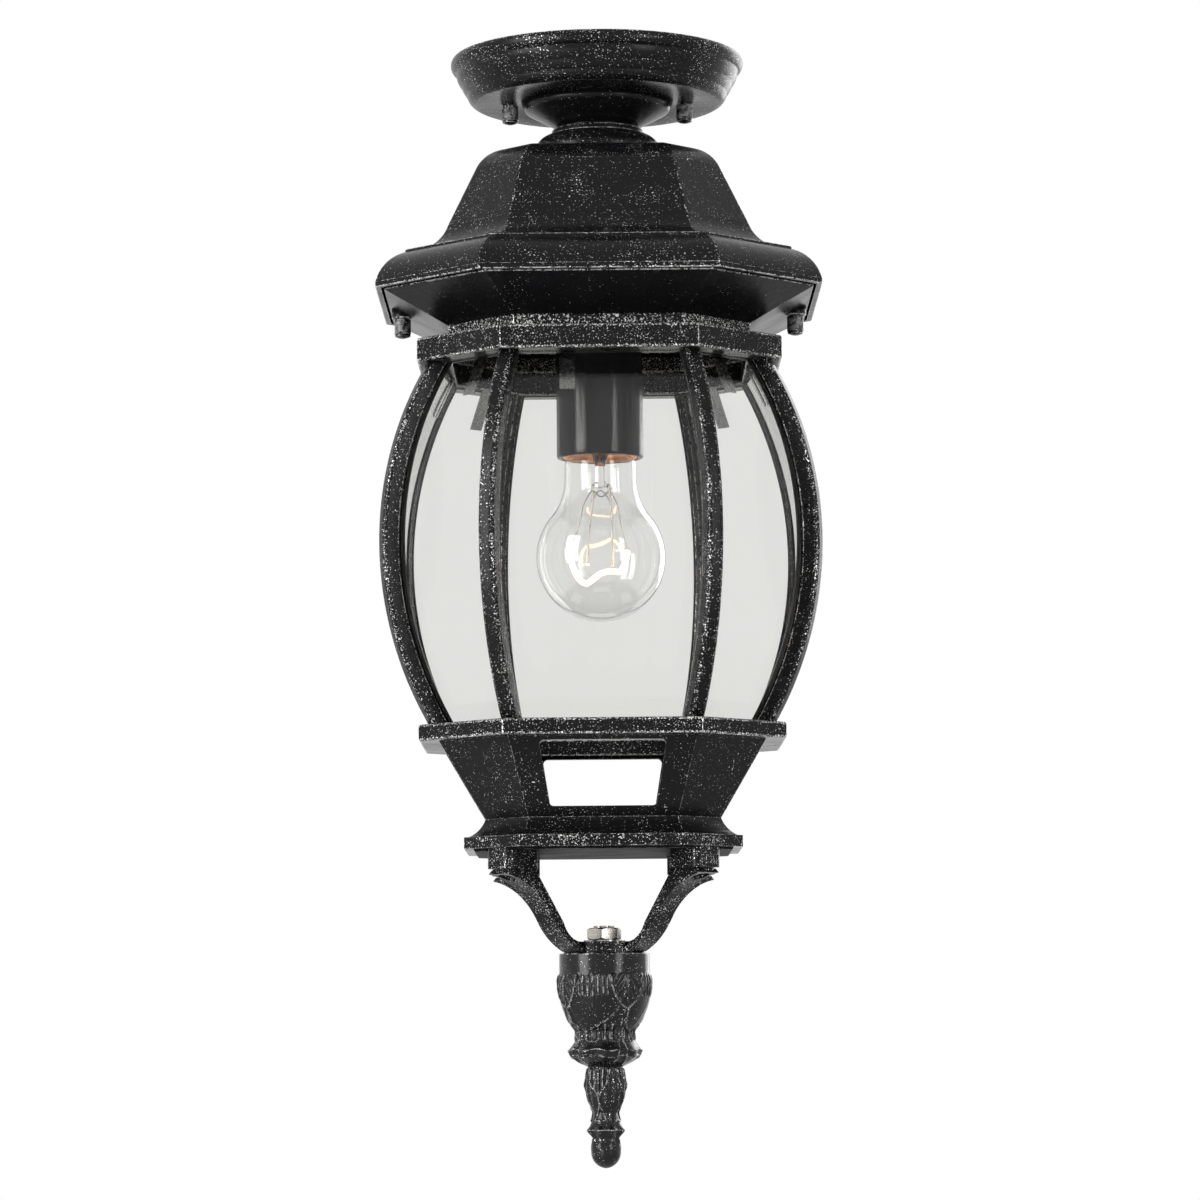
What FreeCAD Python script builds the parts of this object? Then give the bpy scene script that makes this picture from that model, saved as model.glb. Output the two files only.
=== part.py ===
import FreeCAD, Part
import math
import os
import re
import Sketcher

# A porch ceiling lantern: a black cast metal lantern that hangs close under a ceiling.
# The origin is the middle of the ceiling face; everything hangs down from it along -Z.
# In plan the lantern is a square with cut corners: four long facets and four short ones.
# "half" sizes are half the width across the long facets; "drop" sizes are depths below
# the ceiling; "flat_extra" is how far half a long facet reaches past that of a regular
# octagon of the same width. All lengths are in millimetres.

SIZES = {
    "ceiling": {
        "plate_radius": 48,
        "plate_thickness": 2,
        "plate_hole_radius": 11,
        "box_screw_near": 34.925,
        "box_screw_far": 44.45,
        "box_slot_half_width": 2.5,
        "stud_radius": 2.08,
        "stud_fit": 0.07,
        "thread_fit": 0.05,
        "stud_spread": 40.75,
        "stud_reach": 28,
        "ground_screw_place": 26,
        "ground_screw_radius": 3.6,
        "ground_screw_head": 2.4,
        "seat_gap": 0.3,
    },
    "canopy": {
        "canopy_radius": 68.4,
        "canopy_groove_upper": 65.9,
        "canopy_groove_lower": 63.3,
        "canopy_shoulder": 60.8,
        "canopy_face_radius": 55.5,
        "canopy_depth": 21,
        "canopy_bead": 6.2,
        "canopy_bead_radius": 5,
        "canopy_edge_radius": 6,
        "canopy_low_bead": 4.4,
        "canopy_wall": 1.4,
        "cap_nut_radius": 3.9,
        "cap_nut_length": 9,
        "cap_nut_dome": 2.6,
        "cap_nut_end": 1.6,
    },
    "neck": {
        "neck_top_radius": 31,
        "neck_waist_radius": 17.1,
        "neck_cone_height": 10,
        "neck_collar_radius": 21.6,
        "neck_collar_height": 3,
        "neck_bore": 5.3,
        "neck_rim_height": 0.8,
        "neck_collar_taper": 0.4,
        "roof_cap_radius": 29.6,
        "roof_cap_top_radius": 22.4,
        "roof_cap_height": 14,
        "roof_cap_round": 7.2,
        "stem_radius": 4.9,
        "stem_bore": 3.4,
        "stem_top_drop": 7,
        "stem_grip": 4,
        "hex_across_flats": 14.3,
        "hex_height": 5.6,
        "lead_radius": 1.1,
        "lead_offset": 1.5,
        "lead_top_drop": 4,
    },
    "roof": {
        "roof_flat_extra": 11.5,
        "roof_wall": 2.6,
        "roof_shoulder_half": 46,
        "roof_eave_half": 55.5,
        "roof_eave_fall": 8.5,
        "roof_shoulder_round": 18,
        "roof_slope_half": 68.8,
        "roof_slope_fall": 36.7,
        "roof_flare_half": 86.9,
        "roof_flare_fall": 49.7,
        "roof_flare_round": 19,
        "roof_rim_half": 101.6,
        "roof_rim_fall": 67.5,
        "roof_rim_round": 20,
        "roof_lip_height": 2.5,
        "cage_stud_inset": 10.2,
        "cage_boss_radius": 5.1,
        "cage_stud_grip": 6.4,
        "stud_hole_depth": 6,
        "cut_over": 1,
    },
    "cage": {
        "cage_flat_extra": 10,
        "fitter_nest": 2.6,
        "fitter_gap": 1.2,
        "fitter_wall": 2.4,
        "fitter_rim_band": 0.4,
        "fitter_foot_half": 69,
        "fitter_slope_drop": 131,
        "ring_top_drop": 137.5,
        "ring_top_height": 10.8,
        "ring_half": 83.2,
        "ring_inner_half": 66.5,
        "ring_edge": 1.2,
        "glass_height": 165.8,
        "ring_low_height": 7.4,
        "rib_end_half": 77.8,
        "rib_bulge": 21.8,
        "rib_width": 7.5,
        "rib_depth": 7,
        "rib_edge": 1.2,
        "web_width": 3,
        "web_depth": 3.2,
        "glass_thickness": 2.5,
        "glass_gap": 0.3,
        "clip_width": 7,
        "clip_length": 18,
        "clip_thickness": 0.6,
        "clip_offset": 14.5,
    },
    "basket": {
        "basket_flat_extra": 11.5,
        "basket_top_half": 74,
        "basket_waist_half": 53.4,
        "basket_waist_fall": 35.2,
        "basket_cove_round": 14,
        "basket_ring_half": 63.1,
        "basket_ring_height": 5.2,
        "basket_ring_step": 2,
        "basket_fall": 48.6,
        "basket_wall": 3.4,
        "window_top_fall": 1.8,
        "window_bottom_fall": 30.5,
        "window_top_half": 28.2,
        "window_bottom_half": 24.3,
        "window_round": 2.2,
        "plate_top_half": 59,
        "plate_bottom_half": 58.4,
        "plate_height": 1.2,
    },
    "finial": {
        "foot_inner": 49,
        "foot_outer": 68.2,
        "foot_width": 16,
        "foot_height": 9.5,
        "foot_round": 4,
        "foot_gap": 0.4,
        "arm_width": 6.4,
        "flange_width": 11.5,
        "flange_thickness": 1.8,
        "flange_drop": 2.4,
        "foot_lip": 0.6,
        "arm_knee": 38.4,
        "arm_knee_fall": 31,
        "arm_knee_round": 39,
        "arm_outer_round": 43,
        "arm_inner_top": 47.5,
        "arm_inner_knee": 29,
        "arm_inner_knee_fall": 33.4,
        "arm_inner_end": 19.5,
        "arm_inner_round": 13,
        "hub_radius": 18.7,
        "hub_height": 5.2,
        "spider_fall": 46.9,
        "foot_screw_place": 61.5,
        "foot_screw_radius": 2,
        "foot_screw_head": 3.8,
        "foot_screw_sink": 3.2,
        "foot_screw_grip": 6,
        "rod_radius": 4.85,
        "rod_above_nut": 0.9,
        "rod_reach": 24,
        "washer_radius": 9.4,
        "washer_thickness": 0.9,
        "finial_collar_radius": 20.8,
        "finial_collar_height": 8.5,
        "finial_bulge_radius": 22,
        "finial_waist_radius": 14.4,
        "finial_leaf_radius": 17.3,
        "finial_tuck_radius": 8.2,
        "finial_bud_radius": 9.2,
        "finial_neck_radius": 5.8,
        "finial_bell_radius": 8.7,
        "finial_pinch_radius": 6,
        "finial_drop_radius": 6.9,
        "finial_length": 98,
        "finial_drop_place": 0.92,
        "finial_drop_round": 7.3,
        "finial_pinch_round": 13.8,
        "finial_neck_round": 9.8,
        "finial_bud_round": 19.6,
        "finial_waist_round": 11.8,
        "finial_bulge_round": 35.3,
        "finial_pinch_place": 0.857,
        "finial_bell_place": 0.823,
        "finial_neck_place": 0.735,
        "finial_bud_place": 0.592,
        "finial_tuck_place": 0.52,
        "finial_leaf_place": 0.458,
        "finial_waist_place": 0.362,
        "finial_bulge_place": 0.12,
    },
    "lamp": {
        "socket_radius": 20.1,
        "socket_bottom_drop": 188,
        "socket_height": 60,
        "socket_bore": 15,
        "socket_bore_depth": 38,
        "socket_mouth": 17.6,
        "socket_mouth_depth": 5,
        "socket_cap_height": 9,
        "socket_cap_wall": 1.6,
        "socket_cap_hub": 3,
        "socket_cap_rim": 3,
        "socket_cap_inset": 0.6,
        "socket_round": 1,
        "shell_outer": 14.7,
        "shell_inner": 13.85,
        "shell_height": 28,
        "contact_width": 7,
        "contact_thickness": 0.8,
        "base_radius": 13.15,
        "base_height": 24,
        "base_wall": 0.4,
        "base_taper": 5,
        "tip_radius": 4.6,
        "tip_height": 1.6,
        "lamp_seat": 34,
        "lamp_length": 110,
        "lamp_radius": 29.9,
        "lamp_throat_radius": 12.1,
        "lamp_neck_radius": 16.7,
        "lamp_neck_fall": 5.2,
        "lamp_neck_rise": 36.6,
        "lamp_glass_wall": 0.8,
        "mount_radius": 5,
        "mount_height": 25,
        "mount_rise": 8,
        "mount_taper": 6,
        "mount_flare_radius": 12.7,
        "wire_radius": 0.45,
        "filament_thickness": 1.6,
        "filament_spread": 14.5,
        "filament_sag": 13,
        "filament_drop": 232,
    },
}

doc = FreeCAD.newDocument("PorchCeilingLantern")
sheet = doc.addObject("Spreadsheet::Sheet", "Sizes")
row = 0
for group in SIZES.values():
    for word, value in group.items():
        row += 1
        sheet.set("A%d" % row, word)
        sheet.set("B%d" % row, str(value))
        sheet.setAlias("B%d" % row, word)
doc.recompute()

ALIASES = sorted((word for group in SIZES.values() for word in group), key=len, reverse=True)
ALIAS_WORD = re.compile(r"\b(" + "|".join(ALIASES) + r")\b")
TAN_EIGHTH = "tan(22.5 deg)"
COS_EIGHTH = "cos(22.5 deg)"
REACH = 260          # longer than any piece; a cut or a strip of this length passes right through
SUB_PARTS = []


def bound(text):
    """An expression on the sheet's cells, from one written with their bare names."""
    return ALIAS_WORD.sub(r"Sizes.\1", str(text))


def number(text):
    """The present value of such an expression."""
    return float(sheet.evalExpression(bound(text)))


def bind(thing, **properties):
    for name, text in properties.items():
        thing.setExpression(name, bound(text))
    return thing


def keep(thing, label):
    """Mark a finished sub-part; its label names its file."""
    thing.Label = label
    SUB_PARTS.append(thing)
    return thing


def origin_plane(body, role):
    return [feature for feature in body.Origin.OriginFeatures if feature.Role == role][0]


def new_sketch(body, role="XZ_Plane", height=None):
    """An empty sketch on one of the body's own planes, or the given height above it."""
    sketch = body.newObject("Sketcher::SketchObject", body.Name + "_sketch")
    sketch.AttachmentSupport = [(origin_plane(body, role), "")]
    sketch.MapMode = "FlatFace"
    if height is not None:
        sketch.setExpression("AttachmentOffset.Base.z", bound(height))
    return sketch


def arc_between(start, end, radius, turn):
    """The short arc from start to end; turn is +1 anticlockwise or -1 clockwise."""
    middle = (start + end) * 0.5
    along = end - start
    rise = math.sqrt(max(radius ** 2 - (along.Length / 2) ** 2, 0))
    side = FreeCAD.Vector(-along.y, along.x, 0).normalize() * turn
    centre = middle + side * rise
    first, last = (start, end) if turn > 0 else (end, start)
    angles = [math.atan2(point.y - centre.y, point.x - centre.x) for point in (first, last)]
    circle = Part.Circle(centre, FreeCAD.Vector(0, 0, 1), radius)
    return Part.ArcOfCircle(circle, angles[0], angles[1])


def draw(sketch, points):
    """Add a closed outline. A point is (across, up), and the edge that arrives at it is a
    line, or with (across, up, radius, turn) an arc. Every point and radius is bound."""
    places = [FreeCAD.Vector(number(point[0]), number(point[1]), 0) for point in points]
    base = sketch.GeometryCount
    edges = []
    ends = []
    for index, point in enumerate(points):
        start, end = places[index - 1], places[index]
        if len(point) == 4:
            edges.append(arc_between(start, end, number(point[2]), point[3]))
            ends.append((1, 2) if point[3] > 0 else (2, 1))
        else:
            edges.append(Part.LineSegment(start, end))
            ends.append((1, 2))
    sketch.addGeometry(edges, False)
    rules = []
    texts = {}
    for index, point in enumerate(points):
        edge = base + index
        after = (index + 1) % len(points)
        finish = ends[index][1]
        rules.append(Sketcher.Constraint("Coincident", edge, finish, base + after, ends[after][0]))
        for axis, kind, line in ((0, "DistanceX", -2), (1, "DistanceY", -1)):
            if str(point[axis]) == "0":
                rules.append(Sketcher.Constraint("PointOnObject", edge, finish, line))
                continue
            texts[len(rules)] = point[axis]
            value = places[index][axis]
            rules.append(Sketcher.Constraint(kind, -1, 1, edge, finish, value))
        if len(point) == 4:
            texts[len(rules)] = point[2]
            rules.append(Sketcher.Constraint("Radius", edge, number(point[2])))
    first = sketch.ConstraintCount
    sketch.addConstraint(rules)
    for index, text in texts.items():
        sketch.setExpression("Constraints[%d]" % (first + index), bound(text))


def draw_circle(sketch, radius, across="0", up="0"):
    place = FreeCAD.Vector(number(across), number(up), 0)
    ring = sketch.addGeometry(Part.Circle(place, FreeCAD.Vector(0, 0, 1), number(radius)), False)
    for axis, text, kind, line in ((0, across, "DistanceX", -2), (1, up, "DistanceY", -1)):
        if str(text) == "0":
            sketch.addConstraint(Sketcher.Constraint("PointOnObject", ring, 3, line))
        else:
            rule = sketch.addConstraint(Sketcher.Constraint(kind, -1, 1, ring, 3, place[axis]))
            sketch.setExpression("Constraints[%d]" % rule, bound(text))
    rule = sketch.addConstraint(Sketcher.Constraint("Radius", ring, number(radius)))
    sketch.setExpression("Constraints[%d]" % rule, bound(radius))


def new_body(label):
    return keep(doc.addObject("PartDesign::Body", label), label)


def pad(body, sketch, length, both_ways=False):
    feature = body.newObject("PartDesign::Pad", body.Name + "_pad")
    feature.Profile = sketch
    feature.SideType = "Symmetric" if both_ways else "One side"
    return bind(feature, Length=length)


def pocket(body, sketch, both_ways=True, length=None, reverse=False):
    feature = body.newObject("PartDesign::Pocket", body.Name + "_pocket")
    feature.Profile = sketch
    feature.SideType = "Symmetric" if both_ways else "One side"
    feature.Reversed = reverse
    if length is None:
        feature.Type = "ThroughAll"
        return feature
    return bind(feature, Length=length)


def turned(label, points):
    """A piece turned about the lantern's own axis, from its half section."""
    body = new_body(label)
    sketch = new_sketch(body)
    draw(sketch, points)
    feature = body.newObject("PartDesign::Revolution", body.Name + "_turn")
    feature.Profile = sketch
    feature.ReferenceAxis = (sketch, ["V_Axis"])
    feature.Angle = 360
    return body


def tube(label, outer, inner, top, bottom):
    """A plain tube or washer between two drops."""
    return turned(label, [(inner, "-" + top), (outer, "-" + top), (outer, "-" + bottom),
                          (inner, "-" + bottom)])


def hex_nut(label, across_flats, height, bore, top):
    """A hexagon nut on the lantern's axis, its upper face at the given drop."""
    body = new_body(label)
    sketch = new_sketch(body, "XY_Plane", "-(%s) - (%s)" % (top, height))
    corner = "(%s) / sqrt(3)" % across_flats
    draw(sketch, [("(%s) * cos(%d deg)" % (corner, angle), "(%s) * sin(%d deg)" % (corner, angle))
                  for angle in (20, 80, 140, 200, 260, 320)])
    draw_circle(sketch, bore)
    pad(body, sketch, height)
    return body


def facet_plan(half, flat_extra):
    """The eight corners of the lantern's plan, anticlockwise from the right-hand facet."""
    flat = "((%s) * %s + %s)" % (half, TAN_EIGHTH, flat_extra)
    half = "(%s)" % half
    corners = [(half, flat), (flat, half)]
    plan = []
    for across, up in ((1, 1), (-1, 1), (-1, -1), (1, -1)):
        turned_corners = corners if across == up else corners[::-1]
        for corner in turned_corners:
            plan.append((("-" if across < 0 else "") + corner[0], ("-" if up < 0 else "") + corner[1]))
    return plan


def facet_block(name, outline, flat_extra):
    """A solid bounded by the same moulding on all eight facets, mitred at the corners.
    The outline runs down the right-hand side, as (half width, height) points. The strip
    with that section is made for each of the four pairs of facets, and the four overlap."""
    overlap = None
    for step in range(4):
        shift = " + %s / sqrt(2)" % flat_extra if step % 2 else ""
        right = [("(%s)%s" % (point[0], shift),) + tuple(point[1:]) for point in outline]
        left = []
        for index in range(len(outline) - 1, -1, -1):
            point = right[index]
            arriving = right[index + 1] if index + 1 < len(right) else ()
            mirrored = ("-(%s)" % point[0], point[1])
            left.append(mirrored + tuple(arriving[2:]))
        sketch = doc.addObject("Sketcher::SketchObject", name + "_section")
        standing = FreeCAD.Rotation(FreeCAD.Vector(1, 0, 0), 90)
        turn = FreeCAD.Rotation(FreeCAD.Vector(0, 0, 1), 45 * step)
        sketch.Placement = FreeCAD.Placement(FreeCAD.Vector(0, 0, 0), turn.multiply(standing))
        draw(sketch, right + left)
        strip = doc.addObject("Part::Extrusion", name + "_strip")
        strip.Base = sketch
        strip.DirMode = "Normal"
        strip.Symmetric = True
        strip.Solid = True
        strip.LengthFwd = REACH * 2
        if overlap is None:
            overlap = strip
            continue
        joined = doc.addObject("Part::Common", name + "_mitre")
        joined.Base = overlap
        joined.Tool = strip
        overlap = joined
    return overlap


def cut(name, base, tool):
    feature = doc.addObject("Part::Cut", name)
    feature.Base = base
    feature.Tool = tool
    return feature


def fuse(name, pieces):
    feature = doc.addObject("Part::MultiFuse", name)
    feature.Shapes = pieces
    return feature


def cylinder(name, radius, top, bottom, across="0", back="0"):
    """A round bar between two drops."""
    feature = doc.addObject("Part::Cylinder", name)
    bind(feature, Radius=radius, Height="(%s) - (%s)" % (bottom, top))
    feature.setExpression("Placement.Base.x", bound(across))
    feature.setExpression("Placement.Base.y", bound(back))
    feature.setExpression("Placement.Base.z", bound("-(%s)" % bottom))
    return feature


# ---- the ceiling plate, canopy and neck -------------------------------------------------

def ceiling_plate():
    """A round plate that screws to the ceiling box; it stays inside the canopy's rim."""
    body = new_body("mounting_plate")
    sketch = new_sketch(body, "XY_Plane", "-plate_thickness")
    draw_circle(sketch, "plate_radius")
    draw_circle(sketch, "plate_hole_radius")
    for side in ("", "-"):
        draw_circle(sketch, "stud_radius + thread_fit", side + "stud_spread")
    draw_circle(sketch, "stud_radius + thread_fit", "ground_screw_place", "ground_screw_place")
    width = "box_slot_half_width"
    near, far = "(box_screw_near)", "(box_screw_far)"
    for side, other in (("", "-"), ("-", "")):
        draw(sketch, [
            (other + width, side + near),
            ("0", "%s(%s - %s)" % (side, near, width), width, 1),
            (side + width, side + near, width, 1),
            (side + width, side + far),
            ("0", "%s(%s + %s)" % (side, far, width), width, 1),
            (other + width, side + far, width, 1),
        ])
    pad(body, sketch, "plate_thickness")

    body = new_body("canopy_studs")
    sketch = new_sketch(body, "XY_Plane", "-stud_reach")
    for side in ("", "-"):
        draw_circle(sketch, "stud_radius", side + "stud_spread")
    pad(body, sketch, "stud_reach")

    body = new_body("ground_screw")
    sketch = new_sketch(body, "XY_Plane", "-plate_thickness - ground_screw_head")
    draw_circle(sketch, "ground_screw_radius", "ground_screw_place", "ground_screw_place")
    pad(body, sketch, "ground_screw_head")
    shank = new_sketch(body, "XY_Plane", "-plate_thickness")
    draw_circle(shank, "stud_radius", "ground_screw_place", "ground_screw_place")
    pad(body, shank, "plate_thickness")


def canopy():
    """The spun cover: three shallow beads down its side and a flat face underneath."""
    body = turned("canopy", [
        ("neck_bore", "-canopy_depth + canopy_wall"),
        ("neck_bore", "-canopy_depth"),
        ("canopy_face_radius", "-canopy_depth"),
        ("canopy_shoulder", "-canopy_depth + canopy_low_bead", "canopy_edge_radius", 1),
        ("canopy_groove_lower", "-2 * canopy_bead", "canopy_bead_radius", 1),
        ("canopy_groove_upper", "-canopy_bead", "canopy_bead_radius", 1),
        ("canopy_radius", "0", "canopy_edge_radius", 1),
        ("canopy_radius - canopy_wall", "0"),
        ("canopy_groove_upper - canopy_wall", "-canopy_bead"),
        ("canopy_groove_lower - canopy_wall", "-2 * canopy_bead"),
        ("canopy_shoulder - canopy_wall", "-canopy_depth + canopy_low_bead"),
        ("canopy_face_radius - canopy_wall / 2", "-canopy_depth + canopy_wall"),
    ])
    holes = new_sketch(body, "XY_Plane")
    for side in ("", "-"):
        draw_circle(holes, "stud_radius + seat_gap", side + "stud_spread")
    pocket(body, holes)


def cap_nut(label, across, seat):
    """A long closed nut with a domed end, screwed up a stud to the seat's drop."""
    body = new_body(label)
    top = "(%s + seat_gap)" % seat
    bottom = "(%s + seat_gap + cap_nut_length)" % seat
    sketch = new_sketch(body, "XZ_Plane")
    draw(sketch, [
        ("0", "-%s + cap_nut_end" % bottom),
        ("0", "-" + bottom),
        ("cap_nut_radius - cap_nut_dome", "-" + bottom),
        ("cap_nut_radius", "-%s + cap_nut_dome" % bottom, "cap_nut_dome", 1),
        ("cap_nut_radius", "-" + top),
        ("stud_radius + stud_fit", "-" + top),
        ("stud_radius + stud_fit", "-%s + cap_nut_end" % bottom),
    ])
    feature = body.newObject("PartDesign::Revolution", body.Name + "_turn")
    feature.Profile = sketch
    feature.ReferenceAxis = (sketch, ["V_Axis"])
    feature.Angle = 360
    body.setExpression("Placement.Base.x", bound(across))


NECK_DROP = "(canopy_depth + neck_cone_height + neck_collar_height)"
ROOF_DROP = "(%s + roof_cap_height)" % NECK_DROP


def neck():
    """The upturned cone under the canopy with its collar, and the rounded cap on the roof."""
    waist = "-(canopy_depth + neck_cone_height)"
    turned("neck", [
        ("neck_bore", "-canopy_depth"),
        ("neck_bore", "-" + NECK_DROP),
        ("neck_collar_radius", "-" + NECK_DROP),
        ("neck_collar_radius - neck_collar_taper", waist),
        ("neck_waist_radius", waist),
        ("neck_top_radius", "-canopy_depth - neck_rim_height"),
        ("neck_top_radius", "-canopy_depth"),
    ])
    turned("roof_cap", [
        ("neck_bore", "-" + NECK_DROP),
        ("neck_bore", "-" + ROOF_DROP),
        ("roof_cap_radius", "-" + ROOF_DROP),
        ("roof_cap_radius", "-%s - roof_cap_round" % NECK_DROP),
        ("roof_cap_top_radius", "-" + NECK_DROP, "roof_cap_round", 1),
    ])


def stem():
    """The threaded hollow stem that clamps canopy, neck, cap and roof, and carries the socket."""
    socket_top = "(socket_bottom_drop - socket_height)"
    tube("stem", "stem_radius", "stem_bore", "stem_top_drop",
         "(%s - socket_cap_height + stem_grip)" % socket_top)
    bore = "stem_radius + thread_fit"
    hex_nut("stem_lock_nut", "hex_across_flats", "hex_height", bore,
            "canopy_depth - canopy_wall - hex_height")
    hex_nut("roof_nut", "hex_across_flats", "hex_height", bore, ROOF_DROP + " + roof_wall")
    for label, side in (("lead_black", "-"), ("lead_white", "")):
        body = new_body(label)
        sketch = new_sketch(body, "XY_Plane", "-" + socket_top)
        draw_circle(sketch, "lead_radius", side + "lead_offset")
        pad(body, sketch, socket_top + " - lead_top_drop")


# ---- the roof ---------------------------------------------------------------------------

RIM_DROP = "(%s + roof_rim_fall)" % ROOF_DROP
FITTER_NEST = "(roof_rim_half - roof_wall - fitter_gap)"
FITTER_RIM_DROP = "(%s + fitter_rim_band)" % RIM_DROP
FITTER_SLOPE = "((fitter_slope_drop - %s) / (%s - fitter_foot_half))" % (FITTER_RIM_DROP, FITTER_NEST)
CAGE_STUD_SPREAD = "(roof_rim_half - cage_stud_inset)"
# the boss ends level with the fitter's slope at the inner side of the cap nut, plus a gap
CAGE_BOSS_DROP = "(%s + %s * (%s - %s + cap_nut_radius) + seat_gap)" % (
    FITTER_RIM_DROP, FITTER_SLOPE, FITTER_NEST, CAGE_STUD_SPREAD)


def roof():
    """The cast roof: a hollow eight-sided shell with a flared brim and a rolled rim. Two
    bosses under the brim hold the studs that the cage hangs from."""
    top = "-" + ROOF_DROP
    rim = "%s - roof_rim_fall" % top
    moulding = [
        ("roof_shoulder_half", top),
        ("roof_eave_half", "%s - roof_eave_fall" % top, "roof_shoulder_round", -1),
        ("roof_slope_half", "%s - roof_slope_fall" % top),
        ("roof_flare_half", "%s - roof_flare_fall" % top, "roof_flare_round", 1),
        ("roof_rim_half", "%s + roof_lip_height" % rim, "roof_rim_round", -1),
        ("roof_rim_half", rim),
    ]
    inside = [("%s - roof_wall" % point[0], "%s - roof_wall" % point[1]) + point[2:]
              for point in moulding]
    outer = facet_block("roof_outside", moulding, "roof_flat_extra")
    inner = facet_block("roof_inside", inside, "roof_flat_extra")
    shell = cut("roof_shell", outer, inner)
    bore = cylinder("roof_bore", "neck_bore", ROOF_DROP + " - cut_over",
                    ROOF_DROP + " + roof_wall + cut_over")
    shell = cut("roof_bored", shell, bore)
    boss_top = "(%s + roof_slope_fall)" % ROOF_DROP
    boss_end = "(%s + roof_rim_fall - fitter_nest - 2 * fitter_gap)" % ROOF_DROP
    bosses = [cylinder("roof_boss", "cage_boss_radius", boss_top, boss_end,
                       side + CAGE_STUD_SPREAD) for side in ("", "-")]
    trimmed = doc.addObject("Part::Common", "roof_trimmed_bosses")
    trimmed.Base = fuse("roof_bosses", bosses)
    trimmed.Tool = outer
    whole = fuse("roof_with_bosses", [shell, trimmed])
    holes = fuse("roof_stud_holes", [
        cylinder("roof_stud_hole", "stud_radius + thread_fit", boss_end + " - stud_hole_depth",
                 boss_end + " + cut_over", side + CAGE_STUD_SPREAD) for side in ("", "-")])
    keep(cut("roof_casting", whole, holes), "roof")

    body = new_body("cage_studs")
    stud_end = "(%s + cage_stud_grip)" % CAGE_BOSS_DROP
    sketch = new_sketch(body, "XY_Plane", "-" + stud_end)
    for side in ("", "-"):
        draw_circle(sketch, "stud_radius", side + CAGE_STUD_SPREAD)
    pad(body, sketch, "%s - %s + stud_hole_depth" % (stud_end, boss_end))


# ---- the cage ---------------------------------------------------------------------------

GLASS_TOP = "(ring_top_drop + ring_top_height)"
GLASS_BOTTOM = "(%s + glass_height)" % GLASS_TOP
BASKET_TOP = "(%s + ring_low_height)" % GLASS_BOTTOM


def fitter():
    """The sloping collar that nests in the roof's rim and carries the cage; flat-bottomed
    bosses take the two cap nuts."""
    nest = FITTER_NEST
    outer = facet_block("fitter_outside", [
        (nest, "-%s + fitter_nest" % RIM_DROP),
        (nest, "-" + FITTER_RIM_DROP),
        ("fitter_foot_half", "-fitter_slope_drop"),
        ("fitter_foot_half", "-ring_top_drop"),
    ], "cage_flat_extra")
    inner = facet_block("fitter_inside", [
        (nest + " - fitter_wall", "-%s + fitter_nest + cut_over" % RIM_DROP),
        (nest + " - fitter_wall", "-%s + fitter_wall / 2" % RIM_DROP),
        ("fitter_foot_half - fitter_wall", "-fitter_slope_drop + fitter_wall"),
        ("fitter_foot_half - fitter_wall", "-ring_top_drop - cut_over"),
    ], "cage_flat_extra")
    shell = cut("fitter_shell", outer, inner)
    boss_top = "(%s + fitter_nest / 3)" % RIM_DROP
    bosses = [cylinder("fitter_boss", "cage_boss_radius", boss_top, CAGE_BOSS_DROP,
                       side + CAGE_STUD_SPREAD) for side in ("", "-")]
    whole = fuse("fitter_with_bosses", [shell] + bosses)
    holes = fuse("fitter_stud_holes", [
        cylinder("fitter_stud_hole", "stud_radius + 2 * seat_gap", boss_top + " - stud_hole_depth",
                 CAGE_BOSS_DROP + " + cut_over", side + CAGE_STUD_SPREAD) for side in ("", "-")])
    keep(cut("fitter_casting", whole, holes), "cage_fitter")


def cage_ring(label, top, height):
    """An eight-sided ring with its outer edges eased."""
    body = new_body(label)
    sketch = new_sketch(body, "XY_Plane", "-%s - %s" % (top, height))
    draw(sketch, facet_plan("ring_half", "cage_flat_extra"))
    draw(sketch, facet_plan("ring_inner_half", "cage_flat_extra"))
    block = pad(body, sketch, height)
    doc.recompute()
    limit = number("ring_half") - 1
    names = []
    for index, edge in enumerate(block.Shape.Edges):
        ends = [vertex.Point for vertex in edge.Vertexes]
        level = abs(ends[0].z - ends[1].z) < 0.01
        wide = all(max(abs(end.x), abs(end.y)) > limit for end in ends)
        if level and wide:
            names.append("Edge%d" % (index + 1))
    ease = body.newObject("PartDesign::Chamfer", body.Name + "_ease")
    ease.Base = (block, names)
    bind(ease, Size="ring_edge")


RIB_RADIUS = "((glass_height / 2)^2 + %s^2) / (2 * %s)"


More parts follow.
